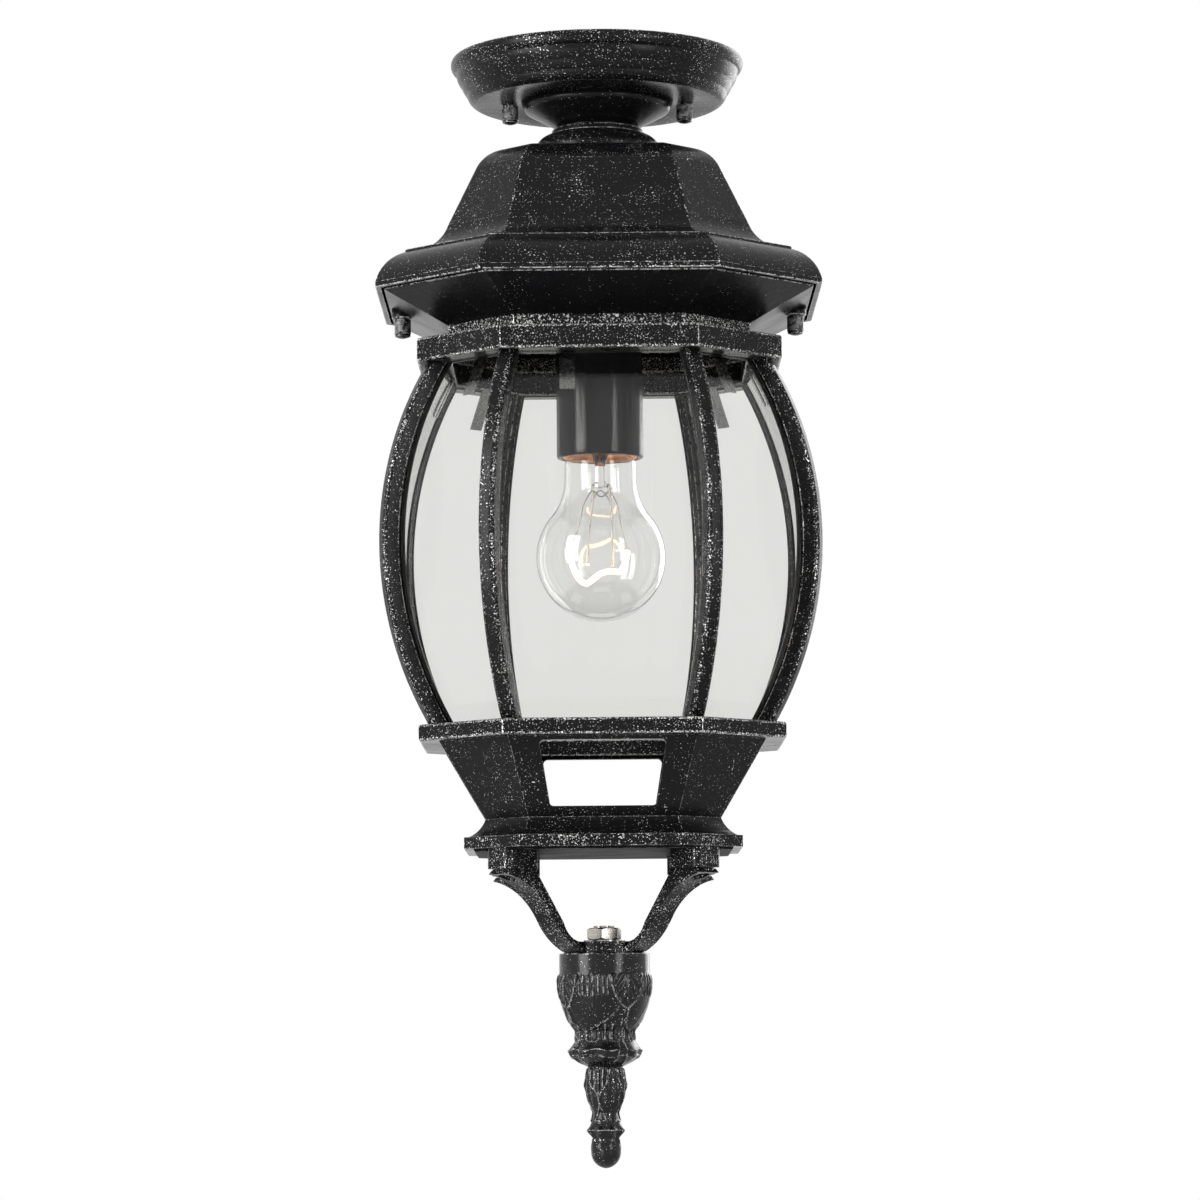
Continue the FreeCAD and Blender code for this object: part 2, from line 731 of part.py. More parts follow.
def rib(label, corner, quarter):
    """One bowed bar of the cage: a wide outer flange with a thin web behind it, which
    stands between two panes. It follows the mitre between a long facet and a short one."""
    body = new_body(label)
    stretch = "(1 / %s)" % COS_EIGHTH
    flange = "(rib_depth * %s)" % stretch
    web = "(web_depth * %s)" % stretch
    bulge = "(rib_bulge * %s)" % stretch
    radius = "(" + RIB_RADIUS % (bulge, bulge) + ")"
    end = "(rib_end_half * %s)" % stretch
    top, bottom = "-" + GLASS_TOP, "-" + GLASS_BOTTOM
    for width, near, far in (("rib_width", "0", flange), ("web_width", flange + " / 2", flange + " + " + web)):
        sketch = new_sketch(body, "XZ_Plane")
        draw(sketch, [
            ("%s - (%s)" % (end, near), bottom),
            ("%s - (%s)" % (end, near), top, radius, 1),
            ("%s - (%s)" % (end, far), top),
            ("%s - (%s)" % (end, far), bottom, radius, -1),
        ])
        last = pad(body, sketch, width, both_ways=True)
    doc.recompute()
    names = []
    reach = number(end) + number(bulge) - 3
    for index, edge in enumerate(last.Shape.Edges):
        middle = edge.valueAt((edge.FirstParameter + edge.LastParameter) / 2)
        if middle.x > reach and abs(middle.y) > number("rib_width") / 2 - 0.1:
            names.append("Edge%d" % (index + 1))
    ease = body.newObject("PartDesign::Chamfer", body.Name + "_ease")
    ease.Base = (last, names)
    bind(ease, Size="rib_edge")
    angle = 90 * quarter + (22.5 if corner > 0 else 67.5)
    body.Placement.Rotation = FreeCAD.Rotation(FreeCAD.Vector(0, 0, 1), angle)
    step = 90 * quarter + (90 if corner > 0 else 0)
    body.setExpression("Placement.Base.x", bound("cage_flat_extra * cos(%d deg)" % step))
    body.setExpression("Placement.Base.y", bound("cage_flat_extra * sin(%d deg)" % step))


def pane(label, step):
    """One bowed glass pane. It stands on the lower ring behind the ribs' flanges, and its
    edges are cut along the mitres, clear of the webs."""
    body = new_body(label)
    short = step % 2 == 1
    shift = " + cage_flat_extra / sqrt(2)" if short else ""
    radius = "(" + RIB_RADIUS % ("rib_bulge", "rib_bulge") + ")"
    top = "-%s - glass_gap" % GLASS_TOP
    bottom = "-%s + glass_gap" % GLASS_BOTTOM
    face = "(rib_end_half - rib_depth - glass_gap%s)" % shift
    back = "(%s - glass_thickness)" % face
    sketch = new_sketch(body, "XZ_Plane")
    draw(sketch, [(face, bottom), (face, top, radius, 1), (back, top), (back, bottom, radius, -1)])
    pad(body, sketch, "4 * cage_flat_extra + rib_end_half", both_ways=True)
    clear = "(web_width / 2 + glass_gap) / %s" % COS_EIGHTH
    centre = "(%s)" % ("-cage_flat_extra" if short else "cage_flat_extra")
    near, far = "rib_end_half / 2", "rib_end_half * 2"
    trim = new_sketch(body, "XY_Plane")
    for side in ("", "-"):
        points = [
            (near, "%s(%s * %s + %s - %s)" % (side, near, TAN_EIGHTH, centre, clear)),
            (far, "%s(%s * %s + %s - %s)" % (side, far, TAN_EIGHTH, centre, clear)),
            (far, "%s(%s * 2)" % (side, far)),
            (near, "%s(%s * 2)" % (side, far)),
        ]
        draw(trim, points)
    pocket(body, trim)
    body.Placement.Rotation = FreeCAD.Rotation(FreeCAD.Vector(0, 0, 1), 45 * step)


def clips():
    """Small spring tabs under the top ring that press each pane forward."""
    radius = "(" + RIB_RADIUS % ("rib_bulge", "rib_bulge") + ")"
    half = "(glass_height / 2)"
    lean = "(sqrt(%s^2 - (%s - clip_length)^2) - sqrt(%s^2 - %s^2) - glass_gap)" % (
        radius, half, radius, half)
    names = []
    for step in range(8):
        short = step % 2 == 1
        shift = " + cage_flat_extra / sqrt(2)" if short else ""
        back = "(rib_end_half - rib_depth - 2 * glass_gap - glass_thickness%s)" % shift
        clip = doc.addObject("PartDesign::Body", "glass_clip")
        sketch = new_sketch(clip, "XZ_Plane", "0" if short else "clip_offset")
        top, bottom = "-" + GLASS_TOP, "-%s - clip_length" % GLASS_TOP
        draw(sketch, [
            (back, top),
            ("%s - clip_thickness" % back, top),
            ("%s + %s - clip_thickness" % (back, lean), bottom),
            ("%s + %s" % (back, lean), bottom),
        ])
        pad(clip, sketch, "clip_width", both_ways=True)
        clip.Placement.Rotation = FreeCAD.Rotation(FreeCAD.Vector(0, 0, 1), 45 * step)
        names.append(clip)
    group = doc.addObject("Part::Compound", "glass_clips")
    group.Links = names
    keep(group, "glass_clips")


# ---- the basket, spider and finial -------------------------------------------------------

def basket():
    """The tapering basket under the cage: a window in each long facet, a cove and a ring."""
    top = "-" + BASKET_TOP
    waist = "%s - basket_waist_fall" % top
    ring = "%s - basket_fall + basket_ring_height" % top
    outer = facet_block("basket_outside", [
        ("basket_top_half", top),
        ("basket_waist_half", waist),
        ("basket_ring_half - basket_ring_step", ring, "basket_cove_round", 1),
        ("basket_ring_half", ring),
        ("basket_ring_half", "%s - basket_fall" % top),
    ], "basket_flat_extra")
    inner = facet_block("basket_inside", [
        ("basket_top_half - basket_wall", "%s + cut_over" % top),
        ("basket_waist_half - basket_wall", waist),
        ("basket_waist_half - basket_wall", "%s - basket_fall - cut_over" % top),
    ], "basket_flat_extra")
    shell = cut("basket_shell", outer, inner)
    holes = []
    for step in range(2):
        sketch = doc.addObject("Sketcher::SketchObject", "basket_window")
        standing = FreeCAD.Rotation(FreeCAD.Vector(1, 0, 0), 90)
        turn = FreeCAD.Rotation(FreeCAD.Vector(0, 0, 1), 90 * step)
        sketch.Placement = FreeCAD.Placement(FreeCAD.Vector(0, 0, 0), turn.multiply(standing))
        upper = "%s - window_top_fall" % top
        lower = "%s - window_bottom_fall" % top
        draw(sketch, [
            ("-window_top_half", upper + " - window_round"),
            ("-window_top_half + window_round", upper, "window_round", -1),
            ("window_top_half - window_round", upper),
            ("window_top_half", upper + " - window_round", "window_round", -1),
            ("window_bottom_half", lower + " + window_round"),
            ("window_bottom_half - window_round", lower, "window_round", -1),
            ("-window_bottom_half + window_round", lower),
            ("-window_bottom_half", lower + " + window_round", "window_round", -1),
        ])
        hole = doc.addObject("Part::Extrusion", "basket_window_cut")
        hole.Base = sketch
        hole.DirMode = "Normal"
        hole.Symmetric = True
        hole.Solid = True
        hole.LengthFwd = REACH
        holes.append(hole)
    place = "foot_screw_place / sqrt(2)"
    end = "(%s + basket_fall)" % BASKET_TOP
    for across, back in (("", ""), ("", "-"), ("-", ""), ("-", "-")):
        holes.append(cylinder("basket_screw_hole", "foot_screw_radius + thread_fit",
                              end + " - foot_screw_grip", end + " + cut_over",
                              across + place, back + place))
    keep(cut("basket_casting", shell, fuse("basket_holes", holes)), "basket")


PLATE_TOP = "(%s + basket_fall)" % BASKET_TOP


def bottom_plate():
    """The thin plate that closes the basket, notched for the four feet."""
    solid = facet_block("plate_block", [
        ("plate_top_half", "-" + PLATE_TOP),
        ("plate_bottom_half", "-%s - plate_height" % PLATE_TOP),
    ], "basket_flat_extra")
    notches = []
    for step in range(4):
        notch = doc.addObject("Part::Box", "plate_notch")
        bind(notch, Length="foot_outer", Width="foot_width + 2 * foot_gap", Height="plate_height + 2 * cut_over")
        angle = 45 + 90 * step
        notch.Placement.Rotation = FreeCAD.Rotation(FreeCAD.Vector(0, 0, 1), angle)
        inner, half = "(foot_inner - foot_gap)", "(foot_width / 2 + foot_gap)"
        notch.setExpression("Placement.Base.x", bound(
            "%s * cos(%d deg) + %s * sin(%d deg)" % (inner, angle, half, angle)))
        notch.setExpression("Placement.Base.y", bound(
            "%s * sin(%d deg) - %s * cos(%d deg)" % (inner, angle, half, angle)))
        notch.setExpression("Placement.Base.z", bound("-%s - plate_height - cut_over" % PLATE_TOP))
        notches.append(notch)
    keep(cut("plate_casting", solid, fuse("plate_notches", notches)), "bottom_plate")


HUB_BOTTOM = "(%s + spider_fall)" % PLATE_TOP


def outer_curve(shift, way):
    """The arm's outer outline from the hub to the foot (way 1) or back (way -1), moved
    inwards and upwards by the shift."""
    knee = ("arm_knee - " + shift, "-%s - arm_knee_fall + %s" % (PLATE_TOP, shift))
    tip = ("foot_outer - foot_lip - " + shift,
           "-%s - foot_height - flange_drop + %s" % (PLATE_TOP, shift))
    hub = ("hub_radius - " + shift, "-%s + %s" % (HUB_BOTTOM, shift))
    if way > 0:
        return [hub, knee + ("arm_knee_round", 1), tip + ("arm_outer_round", -1)]
    return [tip, knee + ("arm_outer_round", 1), hub + ("arm_knee_round", -1)]


def spider_sketch(body, step):
    """A sketch standing in the plane of one arm."""
    sketch = new_sketch(body, "XZ_Plane")
    sketch.AttachmentOffset.Rotation = FreeCAD.Rotation(FreeCAD.Vector(0, 1, 0), -(45 + 90 * step))
    return sketch


def spider():
    """The cast spider: four feet under the basket's ring, curved arms and a round hub."""
    top = "-" + PLATE_TOP
    body = new_body("finial_spider")
    hub = new_sketch(body, "XY_Plane", "-" + HUB_BOTTOM)
    draw_circle(hub, "hub_radius")
    pad(body, hub, "hub_height")
    for step in range(4):
        foot = new_sketch(body, "XY_Plane", "%s - foot_height" % top)
        foot.AttachmentOffset.Rotation = FreeCAD.Rotation(FreeCAD.Vector(0, 0, 1), 45 + 90 * step)
        half = "foot_width / 2"
        draw(foot, [
            ("foot_outer - foot_round", "-" + half),
            ("foot_outer", "-%s + foot_round" % half, "foot_round", 1),
            ("foot_outer", "%s - foot_round" % half),
            ("foot_outer - foot_round", half, "foot_round", 1),
            ("foot_inner + foot_round / 2", half),
            ("foot_inner", "%s - foot_round / 2" % half, "foot_round / 2", 1),
            ("foot_inner", "-%s + foot_round / 2" % half),
            ("foot_inner + foot_round / 2", "-" + half, "foot_round / 2", 1),
        ])
        pad(body, foot, "foot_height")
        under = "%s - foot_height" % top
        arm = spider_sketch(body, step)
        draw(arm, [
            ("arm_inner_top", under + " + cut_over"),
            ("arm_inner_knee", "%s - arm_inner_knee_fall" % top),
            ("arm_inner_end", "-%s + hub_height" % HUB_BOTTOM, "arm_inner_round", -1),
            ("hub_radius / 2", "-%s + hub_height" % HUB_BOTTOM),
            ("hub_radius / 2", "-" + HUB_BOTTOM),
        ] + outer_curve("flange_thickness / 2", 1) + [
            ("foot_outer - foot_lip - flange_thickness / 2", under + " + cut_over"),
        ])
        pad(body, arm, "arm_width", both_ways=True)
        flange = spider_sketch(body, step)
        draw(flange, outer_curve("0", 1) + outer_curve("flange_thickness", -1))
        pad(body, flange, "flange_width", both_ways=True)
    bore = new_sketch(body, "XY_Plane")
    draw_circle(bore, "rod_radius + seat_gap")
    for across, back in (("", ""), ("", "-"), ("-", ""), ("-", "-")):
        place = "foot_screw_place / sqrt(2)"
        draw_circle(bore, "foot_screw_radius + seat_gap / 2", across + place, back + place)
    pocket(body, bore)
    sinks = new_sketch(body, "XY_Plane", "%s - foot_height + foot_screw_sink" % top)
    for across, back in (("", ""), ("", "-"), ("-", ""), ("-", "-")):
        draw_circle(sinks, "foot_screw_head + seat_gap", across + place, back + place)
    pocket(body, sinks, both_ways=False, length="foot_height")

    screws = new_body("spider_screws")
    heads = new_sketch(screws, "XY_Plane", "%s - foot_height + foot_screw_sink / 4" % top)
    shanks = new_sketch(screws, "XY_Plane", "%s - foot_height + foot_screw_sink / 2" % top)
    for across, back in (("", ""), ("", "-"), ("-", ""), ("-", "-")):
        draw_circle(heads, "foot_screw_head", across + place, back + place)
        draw_circle(shanks, "foot_screw_radius", across + place, back + place)
    pad(screws, heads, "foot_screw_sink * 3 / 4")
    pad(screws, shanks, "foot_height - foot_screw_sink / 2 + foot_screw_grip - seat_gap")


def finial():
    """The turned core of the cast finial, with its rod, washer and nut in the spider's hub."""
    end = "(%s + finial_length)" % HUB_BOTTOM
    top = "-" + HUB_BOTTOM
    rod_end = "(%s + rod_reach)" % HUB_BOTTOM
    turned("finial", [
        ("rod_radius + thread_fit", top),
        ("rod_radius + thread_fit", "-%s - seat_gap" % rod_end),
        ("0", "-%s - seat_gap" % rod_end),
        ("0", "-" + end),
        ("finial_drop_radius", "%s - finial_length * finial_drop_place" % top, "finial_drop_round", 1),
        ("finial_pinch_radius", "%s - finial_length * finial_pinch_place" % top, "finial_pinch_round", 1),
        ("finial_bell_radius", "%s - finial_length * finial_bell_place" % top),
        ("finial_neck_radius", "%s - finial_length * finial_neck_place" % top, "finial_neck_round", -1),
        ("finial_bud_radius", "%s - finial_length * finial_bud_place" % top, "finial_bud_round", 1),
        ("finial_tuck_radius", "%s - finial_length * finial_tuck_place" % top, "finial_bud_round", 1),
        ("finial_leaf_radius", "%s - finial_length * finial_leaf_place" % top),
        ("finial_waist_radius", "%s - finial_length * finial_waist_place" % top, "finial_waist_round", -1),
        ("finial_bulge_radius", "%s - finial_length * finial_bulge_place" % top, "finial_bulge_round", 1),
        ("finial_collar_radius", "%s - finial_collar_height" % top),
        ("finial_collar_radius", top),
    ])
    hub_top = "(%s - hub_height)" % HUB_BOTTOM
    tube("finial_washer", "washer_radius", "rod_radius + seat_gap",
         "(%s - washer_thickness)" % hub_top, hub_top)
    nut_top = "%s - washer_thickness - hex_height" % hub_top
    hex_nut("finial_nut", "hex_across_flats", "hex_height", "rod_radius + thread_fit", nut_top)
    body = new_body("finial_rod")
    sketch = new_sketch(body, "XY_Plane", "-" + rod_end)
    draw_circle(sketch, "rod_radius")
    pad(body, sketch, "%s - (%s) + rod_above_nut" % (rod_end, nut_top))


# ---- the socket and the lamp --------------------------------------------------------------

SOCKET_TOP = "(socket_bottom_drop - socket_height)"
LAMP_END = "(socket_bottom_drop + lamp_length - lamp_seat)"


def socket():
    """The lampholder: a cap on the stem, an insulating body, the screw shell and contact."""
    top = "-" + SOCKET_TOP
    wall = "socket_cap_wall"
    turned("socket_cap", [
        ("stem_radius + thread_fit", "%s + socket_cap_height" % top),
        ("stem_radius + thread_fit", "%s + socket_cap_height - stem_grip" % top),
        ("stem_radius + socket_cap_hub / 2", "%s + socket_cap_height - stem_grip" % top),
        ("socket_radius - socket_cap_rim", "%s + socket_cap_hub / 2" % top),
        ("socket_radius - socket_cap_rim", top),
        ("socket_radius - socket_cap_inset", top),
        ("socket_radius - socket_cap_inset", "%s + %s * 2" % (top, wall)),
        ("stem_radius + socket_cap_hub", "%s + socket_cap_height" % top),
    ])
    floor = "-socket_bottom_drop + socket_bore_depth"
    turned("socket_body", [
        ("0", top),
        ("0", floor),
        ("socket_bore", floor),
        ("socket_bore", "-socket_bottom_drop + socket_mouth_depth"),
        ("socket_mouth", "-socket_bottom_drop + socket_mouth_depth"),
        ("socket_mouth", "-socket_bottom_drop"),
        ("socket_radius - socket_round", "-socket_bottom_drop"),
        ("socket_radius", "-socket_bottom_drop + socket_round", "socket_round", 1),
        ("socket_radius", top),
    ])
    shell_low = "-socket_bottom_drop + socket_mouth_depth / 2"
    turned("socket_screw_shell", [
        ("shell_inner", shell_low),
        ("shell_outer", shell_low),
        ("shell_outer", shell_low + " + shell_height"),
        ("shell_inner", shell_low + " + shell_height"),
    ])
    body = new_body("socket_contact")
    sketch = new_sketch(body, "XZ_Plane")
    tip = "-socket_bottom_drop + lamp_seat + seat_gap"
    half = "contact_width"
    draw(sketch, [
        ("-" + half, floor),
        ("-" + half, "%s - contact_thickness" % floor),
        ("-contact_width / 2", "%s - contact_thickness" % floor),
        ("0", tip),
        ("contact_width / 2", tip),
        ("contact_width / 2", "%s + contact_thickness" % tip),
        ("contact_thickness / 2", "%s + contact_thickness" % tip),
        ("-contact_width / 2 + contact_thickness / 2", floor),
    ])
    pad(body, sketch, "contact_width", both_ways=True)


def lamp():
    """A clear screw-base lamp: base, insulator, tip, envelope, glass mount, wires, filament."""
    seat = "-socket_bottom_drop + lamp_seat"
    base_top = "%s - tip_height - base_taper" % seat
    base_low = "%s - base_height" % base_top
    end = "-" + LAMP_END
    turned("lamp_base", [
        ("base_radius - base_wall", base_top),
        ("base_radius - base_wall", base_low),
        ("base_radius", base_low),
        ("base_radius", base_top),
    ])
    turned("lamp_insulator", [
        ("0", "%s - tip_height" % seat),
        ("0", "%s - base_wall" % base_top),
        ("base_radius - base_wall", "%s - base_wall" % base_top),
        ("base_radius - base_wall", base_top),
        ("tip_radius", "%s - tip_height" % seat),
    ])
    turned("lamp_tip", [
        ("0", seat),
        ("0", "%s - tip_height" % seat),
        ("tip_radius - base_wall", "%s - tip_height" % seat),
        ("tip_radius - tip_height", seat),
    ])
    throat_top = "%s + base_taper" % base_low
    throat_end = "%s - base_wall" % base_low
    shoulder = "%s - lamp_neck_fall" % base_low
    ball = "(%s + lamp_radius)" % end
    wall = "lamp_glass_wall"
    sweep = ("((lamp_neck_rise^2 + lamp_neck_radius^2 - lamp_radius^2)"
             " / (2 * (lamp_radius - lamp_neck_radius)))")
    across = "(lamp_neck_radius + %s) / (lamp_radius + %s)" % (sweep, sweep)
    above = "lamp_neck_rise / (lamp_radius + %s)" % sweep
    inner = "(lamp_radius - %s)" % wall
    turned("lamp_envelope", [
        ("lamp_throat_radius", throat_top),
        ("lamp_throat_radius - " + wall, throat_top),
        ("lamp_throat_radius - " + wall, throat_end),
        ("lamp_neck_radius - " + wall, shoulder),
        ("lamp_neck_radius - " + wall, ball + " + lamp_neck_rise"),
        ("%s * %s" % (inner, across), "%s + %s * %s" % (ball, inner, above),
         "(%s + %s)" % (sweep, wall), 1),
        ("0", "%s + %s" % (end, wall), inner, -1),
        ("0", end),
        ("lamp_radius * " + across, "%s + lamp_radius * %s" % (ball, above), "lamp_radius", 1),
        ("lamp_neck_radius", ball + " + lamp_neck_rise", sweep, -1),
        ("lamp_neck_radius", shoulder),
        ("lamp_throat_radius", throat_end),
    ])
    turned("lamp_mount", [
        ("0", "%s + mount_rise" % base_low),
        ("0", "%s + mount_rise - mount_height" % base_low),
        ("mount_radius / 2", "%s + mount_rise - mount_height" % base_low),
        ("mount_radius / 2", "%s - mount_taper" % base_low),
        ("mount_radius", "%s + mount_rise / 4" % base_low),
        ("mount_flare_radius", "%s + mount_rise" % base_low),
    ])
    body = new_body("lamp_wires")
    sketch = new_sketch(body)
    mount_low = "%s + mount_rise - mount_height" % base_low
    tip = "-filament_drop"
    for side in ("", "-"):
        draw(sketch, [
            (side + "(mount_radius / 2 - 2 * wire_radius)", mount_low),
            (side + "(filament_spread - 2 * wire_radius)", tip),
            (side + "filament_spread", tip),
            (side + "(mount_radius / 2)", mount_low),
        ])
    pad(body, sketch, "2 * wire_radius", both_ways=True)
    body = new_body("lamp_filament")
    sketch = new_sketch(body)
    curl = "((filament_spread^2 + filament_sag^2) / (2 * filament_sag))"
    draw(sketch, [
        ("-filament_spread", tip),
        ("filament_spread", tip, curl, 1),
        ("filament_spread - filament_thickness", tip),
        ("-filament_spread + filament_thickness", tip,
         "(((filament_spread - filament_thickness)^2 + (filament_sag - filament_thickness)^2)"
         " / (2 * (filament_sag - filament_thickness)))", -1),
    ])
    pad(body, sketch, "filament_thickness", both_ways=True)


ceiling_plate()
canopy()
cap_nut("canopy_cap_nut_left", "-stud_spread", "canopy_depth")
cap_nut("canopy_cap_nut_right", "stud_spread", "canopy_depth")
neck()
stem()
roof()
cap_nut("cage_cap_nut_left", "-" + CAGE_STUD_SPREAD, CAGE_BOSS_DROP)
cap_nut("cage_cap_nut_right", CAGE_STUD_SPREAD, CAGE_BOSS_DROP)
fitter()
cage_ring("cage_top_ring", "ring_top_drop", "ring_top_height")
cage_ring("cage_low_ring", GLASS_BOTTOM, "ring_low_height")
for quarter in range(4):
    rib("cage_rib_%d" % (2 * quarter + 1), 1, quarter)
    rib("cage_rib_%d" % (2 * quarter + 2), -1, quarter)
for step, side in enumerate(("right", "back_right", "back", "back_left",
                             "left", "front_left", "front", "front_right")):
    pane("glass_" + side, step)
clips()
basket()
bottom_plate()
spider()
finial()
socket()
lamp()
doc.recompute()

for thing in doc.Objects:
    if {"Invalid", "Error"} & set(thing.State):
        raise RuntimeError("%s did not build: %s" % (thing.Name, thing.State))
for thing in SUB_PARTS:
    if thing.Shape.isNull() or not thing.Shape.isValid() or not thing.Shape.Solids:
        raise RuntimeError("%s has no sound solid" % thing.Label)

os.makedirs("parts", exist_ok=True)
for thing in SUB_PARTS:
    thing.Shape.exportStep("parts/%s.step" % thing.Label)
print("sub-parts", len(SUB_PARTS))
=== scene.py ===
# Porch ceiling lantern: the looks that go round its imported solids.
import math

import bmesh
import bpy
import numpy as np
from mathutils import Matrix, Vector


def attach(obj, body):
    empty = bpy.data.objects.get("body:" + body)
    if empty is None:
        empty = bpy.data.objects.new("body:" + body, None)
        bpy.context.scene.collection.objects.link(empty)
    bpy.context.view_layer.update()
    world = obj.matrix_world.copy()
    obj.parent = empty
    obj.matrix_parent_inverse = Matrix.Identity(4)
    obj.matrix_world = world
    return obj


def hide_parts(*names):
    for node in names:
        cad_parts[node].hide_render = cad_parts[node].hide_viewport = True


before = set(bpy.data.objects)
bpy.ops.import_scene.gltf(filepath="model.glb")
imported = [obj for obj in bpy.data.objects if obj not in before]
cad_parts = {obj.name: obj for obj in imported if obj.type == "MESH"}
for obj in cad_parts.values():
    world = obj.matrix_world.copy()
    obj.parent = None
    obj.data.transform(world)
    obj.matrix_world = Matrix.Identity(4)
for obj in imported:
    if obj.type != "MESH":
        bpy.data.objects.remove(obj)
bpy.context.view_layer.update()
mm = 0.001  # lengths in this file are in millimetres, and become metres in the mesh
eighth = math.radians(45)
tanHalf = math.tan(eighth / 2)
cosHalf = math.cos(eighth / 2)
print("frame loaded:", len(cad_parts), "nodes")


# Shader maths as Python: a Wire is a socket, a Finish is a material being built.

class Wire:
    def __init__(self, finish, socket):
        self.finish = finish
        self.socket = socket

    def sum(self, kind, first, second):
        return self.finish.node("ShaderNodeMath", {"operation": kind}, {0: first, 1: second})

    def __add__(self, other):
        return self.sum("ADD", self, other)

    def __radd__(self, other):
        return self.sum("ADD", other, self)

    def __sub__(self, other):
        return self.sum("SUBTRACT", self, other)

    def __rsub__(self, other):
        return self.sum("SUBTRACT", other, self)

    def __mul__(self, other):
        return self.sum("MULTIPLY", self, other)

    def __rmul__(self, other):
        return self.sum("MULTIPLY", other, self)

    def __gt__(self, other):
        return self.sum("GREATER_THAN", self, other)

    def __or__(self, other):  # the larger of two
        return self.sum("MAXIMUM", self, other)


class Finish:
    def __init__(self, tree):
        self.tree = tree
        self.tree.nodes.clear()

    def node(self, kind, settings=None, inputs=None, output=0):
        made = self.tree.nodes.new(kind)
        for key, value in (settings or {}).items():
            setattr(made, key, value)
        for key, value in (inputs or {}).items():
            if isinstance(value, Wire):
                self.tree.links.new(value.socket, made.inputs[key])
            else:
                made.inputs[key].default_value = value
        return Wire(self, made.outputs[output])

    def place(self):
        return self.node("ShaderNodeTexCoord", output="Object")

    def edges(self):  # one over the radius in mm where a surface turns outwards
        return self.node("ShaderNodeAttribute", {"attribute_name": "edge"}, output="Fac")

    def noise(self, perMetre, detail=2.0, rough=0.5):
        return self.node("ShaderNodeTexNoise", None, {
            "Vector": self.place(), "Scale": perMetre, "Detail": detail, "Roughness": rough})

    def between(self, value, low, high, toLow=0.0, toHigh=1.0):
        return self.node("ShaderNodeMapRange", {"interpolation_type": "SMOOTHSTEP"}, {
            "Value": value, "From Min": low, "From Max": high, "To Min": toLow, "To Max": toHigh})

    def blend(self, share, first, second):  # colours A and B of a Mix node
        return self.node("ShaderNodeMix", {"data_type": "RGBA"}, {0: share, 6: first, 7: second}, 2)

    def bump(self, height, depth):
        return self.node("ShaderNodeBump", None, {"Height": height, "Distance": depth})

    def principled(self, inputs):
        return self.node("ShaderNodeBsdfPrincipled", None, inputs)

    def mix(self, share, first, second):
        return self.node("ShaderNodeMixShader", None, {0: share, 1: first, 2: second})

    def finishWith(self, surface, kind="ShaderNodeOutputMaterial"):
        end = self.tree.nodes.new(kind)
        self.tree.links.new(surface.socket, end.inputs["Surface"])


def newFinish(name):
    material = bpy.data.materials.new(name)
    material.use_nodes = True
    return material, Finish(material.node_tree)


def principled(name, colour, rough=0.4, metal=0.0, **more):
    material, finish = newFinish(name)
    inputs = {"Base Color": (*colour, 1.0), "Roughness": rough, "Metallic": metal}
    inputs.update({key.replace("_", " "): value for key, value in more.items()})
    finish.finishWith(finish.principled(inputs))
    return material


coat = {
    "black": (0.0045, 0.0045, 0.005, 1.0),
    "silver": (0.90, 0.90, 0.88, 1.0),
    "grain": 1500,  # flecks to the metre along a line
    "grainDetail": 2.5, "grainRough": 0.55,
    "soft": 0.045,  # how far over the level a fleck is whole
    "patches": 75, "patchDepth": 0.17,
    "clusters": 500, "clusterRange": (0.35, 0.65), "weakest": 0.4,  # some flecks are weaker
    "sheen": 0.5,  # how metallic a fleck is
    # painted highlight: flecks gather on edges, and the sharpest edges get a broken silver line,
    # standing in for the lamps' glints on ridges
    "edgeBends": (0.12, 0.7), "edgeDepth": 0.10,
    "glintBends": (0.6, 1.5), "wearAndGlint": 0.4, "glintGrain": 420, "glintRange": (0.42, 0.6),
    "rough": 0.26, "roughPatches": 40, "smoother": 0.04, "rougher": 0.06,
    "gloss": 0.13,
    "peel": 240, "peelDepth": 0.00012,  # the coat's slight waviness
}


def powderCoat(name, level, bright=1.0, bands=(), edgeGlints=1.0, rough=coat["rough"],
               gloss=coat["gloss"]):
    # silver shows where a fine noise rises over a level, which is lower in patches and, as painted
    # highlight, on edges, and changes between the heights of each band (low, high, change)
    material, finish = newFinish(name)
    bends = finish.edges()
    edge = finish.between(bends, *coat["edgeBends"])
    patch = finish.noise(coat["patches"], 3.0) - 0.5
    grain = finish.noise(coat["grain"], coat["grainDetail"], coat["grainRough"])
    # edges get denser flecks: painted highlight
    over = grain + patch * coat["patchDepth"] + edge * coat["edgeDepth"] * edgeGlints - level
    if bands:
        up = finish.node("ShaderNodeSeparateXYZ", None, {"Vector": finish.place()}, "Z")
    for low, high, change in bands:
        over = over + (up > low * mm) * (1.0 - (up > high * mm)) * change
    cluster = finish.noise(coat["clusters"], 1.0)
    strong = finish.between(cluster, *coat["clusterRange"], coat["weakest"] * bright, bright)
    # painted highlight: a broken silver line along sharp edges, in place of the lamps' glints
    broken = finish.between(finish.noise(coat["glintGrain"], 3.0), *coat["glintRange"])
    line = finish.between(bends, *coat["glintBends"]) * broken
    fleck = finish.between(over, 0.0, coat["soft"]) * strong | line * coat["wearAndGlint"] * edgeGlints
    roughness = finish.between(finish.noise(coat["roughPatches"], 2.0), 0.2, 0.8,
                               rough - coat["smoother"], rough + coat["rougher"])
    finish.finishWith(finish.principled({
        "Base Color": finish.blend(fleck, coat["black"], coat["silver"]),
        "Roughness": roughness, "Metallic": fleck * coat["sheen"], "Specular IOR Level": gloss,
        "Normal": finish.bump(finish.noise(coat["peel"], 2.0), coat["peelDepth"])}))
    return material


